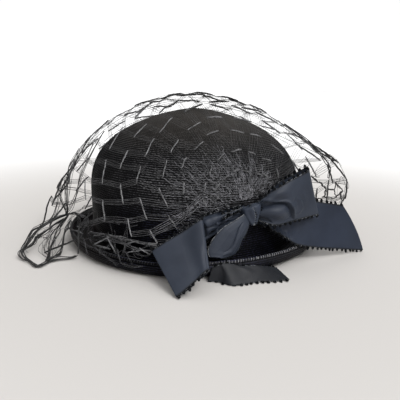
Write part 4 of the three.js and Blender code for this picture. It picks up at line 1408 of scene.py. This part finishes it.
def clear_run(points, heights=BOW_HEIGHT):
    """The first run of a strand that is clear of the bow and the brim, or nothing if it is too short."""
    clear = net_is_clear(points, heights) & (over_brim(points)[..., 2] < points[..., 2] + SLACK_TOUCH)
    first = int(np.argmax(clear))
    stop = first + int(np.argmin(np.r_[clear[first:], False]))
    return points[first:stop] if stop - first >= LEAST_RUN else None


# Gathered net above the knot: its pleats round the knot in degrees, and how far its threads start and reach
GATHER_COUNT = 380
GATHER_PLEATS = 31
GATHER_FROM = -12
GATHER_SPAN = 165
GATHER_CROWDING = 1.25
GATHER_NEAREST = 3.5
GATHER_AROUND = (0, 25, 55, 95, 150)
GATHER_FAR = (27, 27, 19, 13, 9)
GATHER_REACH_AROUND = (0, 40, 100, 150)
GATHER_REACH = (0.6, 0.9, 0.7, 0.5)
GATHER_MM_PER_DEGREE = 1.65
GATHER_CURL_EVERY = 7
GATHER_COARSE_EVERY = 6
GATHER_COARSE = (0.13, 0.17)
GATHER_FINE = (0.06, 0.11)
# Unevenness of the gathers: round the knot in degrees, the power that crowds threads near it, and their lift
GATHER_SCATTER = 1.5
GATHER_POWER = 1.1
GATHER_LIFT = 0.7
GATHER_LOFT = (0.5, 0.6)
GATHER_EASE = (5, 14)
# Threads and curls of the gathers: points along each, ranges of run, turn, size and stretch, and their wander
THREAD_POINTS = 9
THREAD_RUN = (8, 24)
THREAD_WANDER = 0.4
THREAD_BEND = 3.4
THREAD_SWAY = 0.5
CURL_POINTS = 12
CURL_TURN = (2.5, 6.0)
CURL_SIZE = (1.2, 4.2)
CURL_STRETCH = (0.6, 1.6)
CURL_WANDER = 0.25
# Long threads of the net above the left loop, in mm from the crown's axis, and the step up between them
LEFT_THREADS = (
    (-31.4, -89.1, 24.6), (-17.9, -92.8, 33.2), (-11.9, -93.7, 36.8),
    (-1.2, -94.5, 46.4), (3.5, -94.4, 51.2), (9.4, -94.0, 55.5),
)
LEFT_THREAD_COUNT = 5
LEFT_THREAD_STEP = 1.5
LEFT_THREAD_WANDER = 0.35
LEFT_THREAD_THICK = (0.13, 0.19)


def on_gather(from_knot, around, outward, sideways, lift):
    """Points of the gathered net, given in mm outward and sideways from a place near the knot."""
    base = from_knot + outward / GATHER_MM_PER_DEGREE
    turn = around + sideways / (GATHER_MM_PER_DEGREE * np.sin(np.radians(np.maximum(base, 5.0))))
    return on_net(base, turn, lift)


def gather_thread(around):
    """A thread that fans out from the knot, as mm outward and sideways."""
    t = np.linspace(0, 1, THREAD_POINTS)
    reach = np.interp(around, GATHER_REACH_AROUND, GATHER_REACH)
    outward = t * reach * draw.uniform(*THREAD_RUN) + draw.normal(0, THREAD_WANDER, THREAD_POINTS)
    sideways = draw.normal(0, THREAD_BEND) * t * t + np.cumsum(draw.normal(0, THREAD_SWAY, THREAD_POINTS))
    return outward, sideways


def gather_curl():
    """A curl between the threads, as mm outward and sideways."""
    turn = draw.uniform(0, 2 * math.pi) + np.linspace(0, draw.uniform(*CURL_TURN), CURL_POINTS)
    size = draw.uniform(*CURL_SIZE)
    outward = size * np.cos(turn) * draw.uniform(*CURL_STRETCH) + draw.normal(0, CURL_WANDER, CURL_POINTS)
    sideways = size * np.sin(turn) + draw.normal(0, CURL_WANDER, CURL_POINTS)
    return outward, sideways


def make_gather():
    """The crumpled net above the knot: threads that fan out, curls between them and long ones at the left."""
    paths = []
    for k in range(GATHER_COUNT):
        pleat = draw.integers(GATHER_PLEATS) / (GATHER_PLEATS - 1)
        around = GATHER_FROM + GATHER_SPAN * pleat**GATHER_CROWDING + draw.normal(0, GATHER_SCATTER)
        far = np.interp(around, GATHER_AROUND, GATHER_FAR)
        near = GATHER_NEAREST + far * draw.random() ** GATHER_POWER
        outward, sideways = gather_thread(around) if k % GATHER_CURL_EVERY else gather_curl()
        ease = smooth_step(near + outward / GATHER_MM_PER_DEGREE, *GATHER_EASE)
        lift = GATHER_LIFT + np.abs(draw.normal(*GATHER_LOFT, len(outward))) * ease
        run = clear_run(on_gather(near, around, outward, sideways, lift), GATHER_HEIGHT)
        if run is not None:
            thread = GATHER_COARSE if k % GATHER_COARSE_EVERY == 1 else GATHER_FINE
            paths.append((curve_through(run, 3 * len(run)), draw.uniform(*thread)))
    for k in range(LEFT_THREAD_COUNT):
        line = curve_through(LEFT_THREADS, 40) + np.array([0.0, 0.0, LEFT_THREAD_STEP * k])
        paths += beside(line, 1, LEFT_THREAD_WANDER, LEFT_THREAD_THICK)
    strands("veil_gather", paths, NET_SIDES, GATHER_FINISH, "net")


# Path across the brim under the draped net: out and up, from the crown's wall over the lip to the surface
DRAPE_SHARE = (0.0, 0.2, 0.4, 0.6, 0.8, 1.0, 1.15, 1.4)
DRAPE_OUT = (93.4, 94.6, 98.2, 102.6, 106.6, 109.8, 112.8, 114.8)
DRAPE_UP = (32.0, 21.0, 12.5, 10.0, 12.5, 17.0, 13.5, 3.0)
# Shares of the path over which it follows the brim's width
DRAPE_NARROW = (0.3, 0.8)
# Where the wide panel of the left loop begins, along the bow and outward
PANEL_START = -71.5
PANEL_BEHIND = -30
# Guide lines of the draped net: azimuth in degrees and share of the path
DRAPE_LINES = (
    ((204, 0.54), (214, 0.85), (224, 1.14), (226, 1.3)),
    ((230, 0.32), (222, 0.36), (215, 0.5)),
    ((231, 0.3), (229, 0.5), (233, 1.2)),
    ((229, 0.32), (235, 0.54), (243, 1.25)),
    ((226, 0.2), (230, 0.33), (235, 0.22)),
    ((238, 0.0), (239, 0.2), (241, 0.3)),
    ((244, 0.0), (238, 0.1), (236, 0.25)),
    ((234, 0.26), (240, 0.32), (246, 0.34), (251, 0.24)),
    ((243, 1.25), (248, 1.28), (252, 1.26)),
    ((238, 0.26), (241, 0.78), (248, 1.26)),
    ((220, 0.08), (227, 0.05), (234, 0.04)),
    ((212, 0.6), (216, 0.42), (221, 0.24)),
    ((241, 0.3), (248, 0.48), (252, 0.36)),
    ((228, 1.08), (236, 1.22), (242, 1.3)),
)
# Strands along each guide: lift, number, wander of the first and step to the next, and thickness
DRAPE_LIFT = 0.9
DRAPE_COPIES = 4
DRAPE_WANDER = 0.25
DRAPE_WANDER_STEP = 0.3
DRAPE_THICK = (0.07, 0.13)
# Long threads: number, ranges of start and run in degrees and shares of the path, lift, wander and thickness
DRAPE_THREADS = 5
DRAPE_THREAD_POINTS = 12
DRAPE_THREAD_AZIMUTH = (192, 232)
DRAPE_THREAD_SHARE = (0.0, 0.55)
DRAPE_THREAD_TURN = (4, 20)
DRAPE_THREAD_RUN = (0.35, 0.9)
DRAPE_THREAD_LIFT = 1.5
DRAPE_THREAD_ARCH = 2.5
DRAPE_THREAD_WANDER = 0.8
DRAPE_THREAD_THICK = (0.06, 0.11)
# Loose loops: number, points, ranges of start, steps in degrees and shares, lift and thickness
DRAPE_LOOPS = 5
DRAPE_LOOP_POINTS = 9
DRAPE_LOOP_AZIMUTH = (206, 246)
DRAPE_LOOP_SHARE = (0.2, 1.0)
DRAPE_LOOP_TURN = (1.0, 1.6)
DRAPE_LOOP_SWAY = 0.13
DRAPE_LOOP_LAST = 1.3
DRAPE_LOOP_LIFT = 1.2
DRAPE_LOOP_THICK = (0.06, 0.13)


def on_drape(azimuth, share, lift):
    """Points of the draped net by azimuth in degrees and share of its path, lifted above it."""
    turn = np.radians(azimuth)
    narrow = BRIM_WIDER * (1 - brim_wider(turn))
    out = np.interp(share, DRAPE_SHARE, DRAPE_OUT) - narrow * smooth_step(share, *DRAPE_NARROW)
    up = np.interp(share, DRAPE_SHARE, DRAPE_UP) + lift
    return np.stack([out * np.cos(turn), out * np.sin(turn), up], axis=-1)


def beside_panel(points):
    """Whether a strand comes near the wide panel of the left loop."""
    bow = from_bow(points)
    return ((bow[:, 0] > PANEL_START) & (bow[:, 1] > PANEL_BEHIND)).any()


def make_drape():
    """Crumpled net over the brim at the front left: bunched sticks, long threads and loose loops."""
    paths = []
    for guide in DRAPE_LINES:
        azimuth, share = curve_through(guide, 25).T
        line = on_drape(azimuth, share, DRAPE_LIFT)
        for k in range(DRAPE_COPIES):
            paths += beside(line, 1, DRAPE_WANDER + DRAPE_WANDER_STEP * k, DRAPE_THICK)
    t = np.linspace(0, 1, DRAPE_THREAD_POINTS)
    for k in range(DRAPE_THREADS):
        azimuth = draw.uniform(*DRAPE_THREAD_AZIMUTH)
        share = draw.uniform(*DRAPE_THREAD_SHARE)
        azimuth = azimuth + draw.uniform(*DRAPE_THREAD_TURN) * t
        share = share + draw.uniform(*DRAPE_THREAD_RUN) * t
        middle = on_drape(azimuth, share, DRAPE_THREAD_LIFT + DRAPE_THREAD_ARCH * np.sin(math.pi * t))
        for _ in range(2 + k % 2):
            line = loosened(middle, DRAPE_THREAD_WANDER)
            if not beside_panel(line):
                paths.append((curve_through(line, 24), draw.uniform(*DRAPE_THREAD_THICK)))
    count = DRAPE_LOOP_POINTS
    for _ in range(DRAPE_LOOPS):
        azimuth = draw.uniform(*DRAPE_LOOP_AZIMUTH) + np.cumsum(draw.normal(*DRAPE_LOOP_TURN, count))
        share = draw.uniform(*DRAPE_LOOP_SHARE) + np.cumsum(draw.normal(0, DRAPE_LOOP_SWAY, count))
        share = np.clip(share, 0.0, DRAPE_LOOP_LAST)
        points = on_drape(azimuth, share, np.abs(draw.normal(0, DRAPE_LOOP_LIFT, count)))
        if not beside_panel(points):
            paths.append((curve_through(points, 34), draw.uniform(*DRAPE_LOOP_THICK)))
    strands("veil_drape", paths, NET_SIDES, NET_DRAPE_FINISH, "net")


# Strands of the pouch at the left, in mm from the crown's axis
POUCH_EDGE = (
    (-109, -25, 23), (-113, -32, 22.3), (-119.5, -42, 20), (-125, -47, 17.2), (-129, -50, 15.6),
    (-134, -56, 7), (-134.4, -65.5, 4), (-129.5, -74, 2.2), (-121.2, -79.6, 1.2), (-113.8, -86.1, 1.0),
    (-108.5, -77.1, 1.0), (-104.5, -72.9, 1.0), (-96.0, -70.6, 1.0), (-91.5, -66.5, 1.2),
)
POUCH_NEAR = (
    (-107.2, -28.1, 23), (-109.8, -40.4, 18), (-113, -45, 12),
    (-114, -56, 6), (-112.2, -67.6, 2), (-112, -77, 1.2),
)
POUCH_INSIDE = (
    (-104.3, -29.8, 20), (-105.5, -40, 14), (-105.3, -55.7, 6), (-107, -66, 2.4), (-112, -76, 1.2),
)
POUCH_BACK = (
    (-133, -63.2, 5), (-128.7, -54.7, 8), (-125.8, -48.5, 12), (-119, -42, 15), (-110, -31, 20),
)
POUCH_TIE = (
    (-109, -25, 23), (-105.7, -13, 20.4), (-102.4, -8, 18.4), (-97.5, -8, 16),
)
# The same lines, with the number of strands along each and how far these wander
POUCH_GUIDES = (
    (POUCH_EDGE, 8, 1.1), (POUCH_NEAR, 6, 1.2), (POUCH_INSIDE, 5, 1.2),
    (POUCH_BACK, 5, 1.0), (POUCH_TIE, 4, 0.7),
)
POUCH_POINTS = 60
POUCH_SIDES = 5
POUCH_THICK = (0.26, 0.52)
# Fine strands between two of the first guides: number, range of their place between, wander and thickness
BETWEEN_COUNT = 40
BETWEEN_GUIDES = 4
BETWEEN_SHARE = (0.1, 0.9)
BETWEEN_LEAST = 12
BETWEEN_WANDER = 0.8
BETWEEN_THICK = (0.1, 0.18)
# Strands from the veil into the pinch: number, ranges of their start in degrees, and the azimuth they lean to
PINCH_COUNT = 16
PINCH_AZIMUTH = (166, 204)
PINCH_RISE = (14, 40)
PINCH_TOWARD = 193
PINCH_LEAN = 0.4
PINCH_FALL = 0.5
PINCH_LEAST_RISE = 3
PINCH_START = (0, 0.5)
PINCH_DEPTH = (-3, 1.0)
PINCH_WANDER = 1.0
PINCH_THICK = (0.12, 0.26)
# Loosened strands: guide points to each bend, least number of bends, and shares of the wander at both ends
BEND_EVERY = 8
LEAST_BENDS = 4
WANDER_AT_START = 0.3
WANDER_AT_END = 0.6


def make_pouch():
    """The pouch: strands gathered in a pinch at the left, looped on the surface, with fine net between."""
    paths = []
    guides = [curve_through(line, POUCH_POINTS) for line, _, _ in POUCH_GUIDES]
    for guide, (_, copies, spread) in zip(guides, POUCH_GUIDES):
        paths += beside(guide, copies, spread, POUCH_THICK)
    for _ in range(BETWEEN_COUNT):
        first, second = draw.choice(BETWEEN_GUIDES, 2, replace=False)
        share = draw.uniform(*BETWEEN_SHARE)
        across = guides[first] * (1 - share) + guides[second] * share
        start, stop = sorted(draw.integers(0, POUCH_POINTS, 2))
        if stop - start > BETWEEN_LEAST:
            paths += beside(across[start:stop], 1, BETWEEN_WANDER, BETWEEN_THICK)
    pinch = np.array(POUCH_EDGE[0], float)
    for _ in range(PINCH_COUNT):
        azimuth = draw.uniform(*PINCH_AZIMUTH)
        rise = draw.uniform(*PINCH_RISE)
        top = on_veil(azimuth, rise, draw.normal(*PINCH_START))
        azimuth = azimuth * (1 - PINCH_LEAN) + PINCH_TOWARD * PINCH_LEAN
        middle = on_veil(azimuth, rise * PINCH_FALL + PINCH_LEAST_RISE, draw.normal(*PINCH_DEPTH))
        paths += beside(curve_through((top, middle, pinch), 30), 1, PINCH_WANDER, PINCH_THICK)
    strands("veil_pouch", paths, POUCH_SIDES, NET_FINISH, "net")


def beside(guide, copies, spread, thick):
    """Strands beside a guide line, each with its own wander and thickness."""
    return [(loosened(guide, spread), draw.uniform(*thick)) for _ in range(copies)]


def loosened(line, spread):
    """A strand beside a guide line: it wanders off the guide, less so at its ends."""
    bends = max(LEAST_BENDS, len(line) // BEND_EVERY)
    wander = draw.normal(0, spread, (bends, 3))
    wander[0] *= WANDER_AT_START
    wander[-1] *= WANDER_AT_END
    moved = line + curve_through(wander, len(line))
    moved[:, 2] = np.maximum(moved[:, 2], NET_FLOOR)
    return moved


# Bunched junctions in the veil's right puff, as azimuth and rise in degrees, the pairs of them that thick
# strands join, and a dark strand along the puff in mm from the crown's axis
PUFF_NODES = (
    (-22.5, 19.0), (-19.8, 15.6), (-13.3, 16.0), (-21.5, 12.5), (-14.0, 10.3), (-15.0, 13.5), (-25.5, 22.5),
    (-9.0, 11.0), (-3.0, 22.5), (10.5, 19.0), (-5.5, 29.0), (13.5, 24.5), (6.0, 33.0), (-10.0, 8.0),
)
PUFF_LINKS = (
    (0, 1), (1, 5), (5, 2), (1, 3), (5, 4), (3, 4), (0, 6), (2, 7), (4, 7),
    (8, 9), (8, 10), (9, 11), (10, 12), (11, 12), (7, 13),
)
PUFF_STRAND = ((78.2, 0, 100.6), (97.7, -8, 85.3), (111, -15, 73.8), (113.9, -24, 66.5), (111.1, -33, 59.1))
# Strands and loose threads of the puff: number, wander, ranges of start in degrees, steps and thickness
LINK_STRANDS = 3
LINK_WANDER = 0.4
LINK_THICK = (0.26, 0.44)
LINK_POINTS = 7
LINK_SWAY = 0.8
LINK_LIFT = -0.8
LINK_LIFT_WANDER = 0.3
PUFF_STRANDS = 5
PUFF_WANDER = 0.9
PUFF_THICK = (0.2, 0.4)
LOOSE_COUNT = 12
LOOSE_POINTS = 8
LOOSE_AZIMUTH = (-22, 34)
LOOSE_RISE = (-2, 34)
LOOSE_RISE_ENDS = (-6, 60)
LOOSE_STEP = 3.0
LOOSE_LIFT = (-1.0, 1.2)
LOOSE_THICK = (0.1, 0.18)


def make_crumple():
    """Crumpled strands in the puff at the right: bunched junctions and loose threads between the meshes."""
    paths = []
    share = np.linspace(0, 1, LINK_POINTS)
    for first, second in PUFF_LINKS:
        start, end = (np.array(PUFF_NODES[k]) for k in (first, second))
        azimuth, rise = (start + share[:, None] * (end - start)).T
        sway = np.sin(math.pi * share) * draw.normal(0, LINK_SWAY)
        lift = LINK_LIFT + LINK_LIFT_WANDER * draw.normal(0, 1, LINK_POINTS)
        line = curve_through(on_veil(azimuth + sway, rise - sway, lift), 28)
        if net_is_clear(line).all():
            paths += beside(line, LINK_STRANDS, LINK_WANDER, LINK_THICK)
    paths += beside(curve_through(PUFF_STRAND, 48), PUFF_STRANDS, PUFF_WANDER, PUFF_THICK)
    for _ in range(LOOSE_COUNT):
        azimuth = draw.uniform(*LOOSE_AZIMUTH) + np.cumsum(draw.normal(0, LOOSE_STEP, LOOSE_POINTS))
        rise = draw.uniform(*LOOSE_RISE) + np.cumsum(draw.normal(0, LOOSE_STEP, LOOSE_POINTS))
        points = on_veil(azimuth, np.clip(rise, *LOOSE_RISE_ENDS), draw.normal(*LOOSE_LIFT, LOOSE_POINTS))
        run = clear_run(points)
        if run is not None:
            paths.append((curve_through(run, 4 * len(run)), draw.uniform(*LOOSE_THICK)))
    strands("veil_crumple", paths, NET_SIDES, NET_FOLD_PAINTED_SHADE_FINISH, "net")


# Bundled strands down the veil's left side, in mm from the crown's axis
VEIL_OUTER = (
    (-76, 5, 101), (-89, 2, 87.5), (-102.3, -2, 67), (-113, -6, 49.7), (-118.6, -10, 36.9), (-120, -16, 27),
    (-121.5, -24, 20.5), (-124, -32, 18),
)
VEIL_INNER = (
    (-78.8, -5, 92), (-88.5, -8, 75.3), (-97.5, -12, 55),
    (-102.5, -16, 38), (-106.2, -20, 28), (-109, -25, 23),
)
OUTER_COPIES = 5
INNER_COPIES = 4
SIDE_THICK = (0.14, 0.28)
# Folds over the top: number, ranges of their lean and of both ends in degrees, depth, wander and thickness
FOLD_COUNT = 9
FOLD_POINTS = 40
FOLD_LEAN = (-2, 40)
FOLD_FROM = (-74, -30)
FOLD_TO = (25, 66)
FOLD_LIFT = (-0.6, 0.8)
FOLD_WANDER = 1.1
FOLD_THICK = (0.11, 0.24)


def make_folds():
    """Strands bunched along the veil's folds: over the top from side to side, and down the left."""
    paths = []
    for _ in range(FOLD_COUNT):
        lean = math.radians(draw.uniform(*FOLD_LEAN))
        turn = np.radians(np.linspace(draw.uniform(*FOLD_FROM), draw.uniform(*FOLD_TO), FOLD_POINTS))
        upright = np.cos(turn)
        direction = np.stack([np.sin(turn), upright * math.sin(lean), upright * math.cos(lean)], axis=-1)
        paths += beside(veil_at(direction, draw.normal(*FOLD_LIFT)), 1, FOLD_WANDER, FOLD_THICK)
    for guide, copies in ((VEIL_OUTER, OUTER_COPIES), (VEIL_INNER, INNER_COPIES)):
        paths += beside(curve_through(guide, 48), copies, FOLD_WANDER, SIDE_THICK)
    strands("veil_folds", paths, NET_SIDES, NET_FOLD_PAINTED_SHADE_FINISH, "net")


# Camera, floor and light
CAMERA_PLACE = (0.0, -397.54, 131.78)
CAMERA_FORWARD = Vector((0.01322, 0.96915, -0.24611))
CAMERA_ROLL = 0.89
CAMERA_LENS = 40.5
CAMERA_SENSOR = 36.0
CAMERA_CLIP = (0.01, 50.0)
FLOOR_HEIGHT = -0.0004
FLOOR_NEAR = 0.5
FLOOR_FAR = 11.5
FLOOR_SIDES = 96
FLOOR_FADE = (0.16, 0.75)
FLOOR_PALE = (0.56, 0.54, 0.52)
FLOOR_WHITE = (0.96, 0.96, 0.96)
BACKDROP_RADIUS = 12.0
# Strength of the light by the height and the side that it comes from
SKY_HEIGHT = {"From Min": 0.1, "From Max": 0.95, "To Min": 0.04, "To Max": 1.45}
SKY_SIDE = {"From Min": -1.0, "From Max": 1.0, "To Min": 0.4, "To Max": 1.35}
# Suns: direction of the light, power and spread in degrees
SUNS = {
    "key_light": ((-0.45, 0.6, -0.8), 1.6, 24.0),
    "front_fill": ((-0.4, 0.9, -0.3), 0.7, 40.0),
}


def make_camera():
    data = bpy.data.cameras.new("photo_camera")
    data.lens = CAMERA_LENS
    data.sensor_width = CAMERA_SENSOR
    data.sensor_fit = "HORIZONTAL"
    data.clip_start, data.clip_end = CAMERA_CLIP
    camera = bpy.data.objects.new("photo_camera", data)
    bpy.context.scene.collection.objects.link(camera)
    turn = CAMERA_FORWARD.to_track_quat("-Z", "Y").to_matrix().to_4x4()
    turn = turn @ Matrix.Rotation(math.radians(CAMERA_ROLL), 4, "Z")
    camera.matrix_world = Matrix.Translation(in_frame(CAMERA_PLACE)) @ turn
    bpy.context.scene.camera = camera


def floor_circle(fill):
    bpy.ops.mesh.primitive_circle_add(
        vertices=FLOOR_SIDES, radius=FLOOR_NEAR, fill_type=fill, location=(0, 0, FLOOR_HEIGHT)
    )
    return bpy.context.object


def make_floor():
    """A pale floor that grows white far away, where only the camera sees it, and a white backdrop."""
    pale = Finish("pale_floor", Roughness=0.85, Specular_IOR_Level=0.2)
    x, y, _ = pale.parts_of(pale.place())
    far = (x * x + y * y).root().between(*FLOOR_FADE)
    pale.feed(Base_Color=pale.mixed(far, FLOOR_PALE, FLOOR_WHITE))
    white = Finish(
        "white_backdrop", Base_Color=(0, 0, 0, 1), Emission_Color=(1, 1, 1, 1), Emission_Strength=1.0
    )
    deselect()
    near_floor = floor_circle("NGON")
    near_floor.name = "floor"
    far_floor = floor_circle("NOTHING")
    far_floor.name = "floor_far"
    bpy.ops.object.mode_set(mode="EDIT")
    bpy.ops.mesh.select_all(action="SELECT")
    bpy.ops.mesh.extrude_edges_move()
    bpy.ops.transform.resize(value=(FLOOR_FAR / FLOOR_NEAR,) * 3)
    bpy.ops.object.mode_set(mode="OBJECT")
    bpy.ops.mesh.primitive_uv_sphere_add(segments=48, ring_count=24, radius=BACKDROP_RADIUS)
    backdrop = bpy.context.object
    backdrop.name = "backdrop"
    for piece, finish in ((near_floor, pale), (far_floor, pale), (backdrop, white)):
        piece.data.materials.append(finish.material)
    for piece in (far_floor, backdrop):
        for kind in ("diffuse", "glossy", "transmission", "shadow"):
            setattr(piece, "visible_" + kind, False)


def make_sun(name, toward, power, spread):
    data = bpy.data.lights.new(name, "SUN")
    data.energy = power
    data.angle = math.radians(spread)
    lamp = bpy.data.objects.new(name, data)
    bpy.context.scene.collection.objects.link(lamp)
    lamp.rotation_mode = "QUATERNION"
    lamp.rotation_quaternion = Vector(toward).to_track_quat("-Z", "Y")


def make_studio():
    """Soft light from above, stronger from the right, with two wide suns from the front."""
    world = bpy.data.worlds.new("studio")
    world.use_nodes = True
    sky = Nodes(world.node_tree)
    x, _, z = sky.parts_of(sky.node("ShaderNodeTexCoord", {}, {}, "Generated"))
    above = sky.node("ShaderNodeMapRange", {"interpolation_type": "SMOOTHSTEP"}, {"Value": z, **SKY_HEIGHT})
    sideways = sky.node("ShaderNodeMapRange", {}, {"Value": x, **SKY_SIDE})
    background = world.node_tree.nodes["Background"].inputs
    background["Color"].default_value = (1.0, 1.0, 1.0, 1.0)
    world.node_tree.links.new((above * sideways).socket, background["Strength"])
    scene = bpy.context.scene
    scene.world = world
    scene.view_settings.view_transform = "Standard"
    scene.view_settings.look = "None"
    for name, sun in SUNS.items():
        make_sun(name, *sun)


make_camera()
make_floor()
make_studio()
make_crown()
make_brim()
make_edge()
make_edge_stitches()

make_ribbon(
    "bow_loop_right", LOOP_RIGHT, (220, 84), RIGHT_CREASES,
)
make_ribbon(
    "bow_tail_right", TAIL_RIGHT, (160, 72), TAIL_CREASES, finish=TAFFETA_TAIL_PAINTED_SHADE_FINISH, rounded=2.6,
)
make_ribbon(
    "bow_neck_left", NECK_LEFT, (110, 84), NECK_CREASES, waves=3, inner=NECK_FOLD_PICOTS,
)
make_ribbon(
    "bow_loop_left", LOOP_LEFT, (200, 64), PANEL_CREASES, edges=(0,), inner=PANEL_PICOTS,
)
make_ribbon(
    "bow_leaf", LEAF, (110, 72), LEAF_CREASES, profile=LEAF_PROFILE, edges=(-1,), hems=(0,),
)
make_ribbon(
    "bow_tail_low", TAIL_LOW, (120, 48), LOW_CREASES, finish=TAFFETA_LOW_PAINTED_SHADE_FINISH,
)
make_knot()
make_net()
make_gather()
make_drape()
make_pouch()
make_crumple()
make_folds()
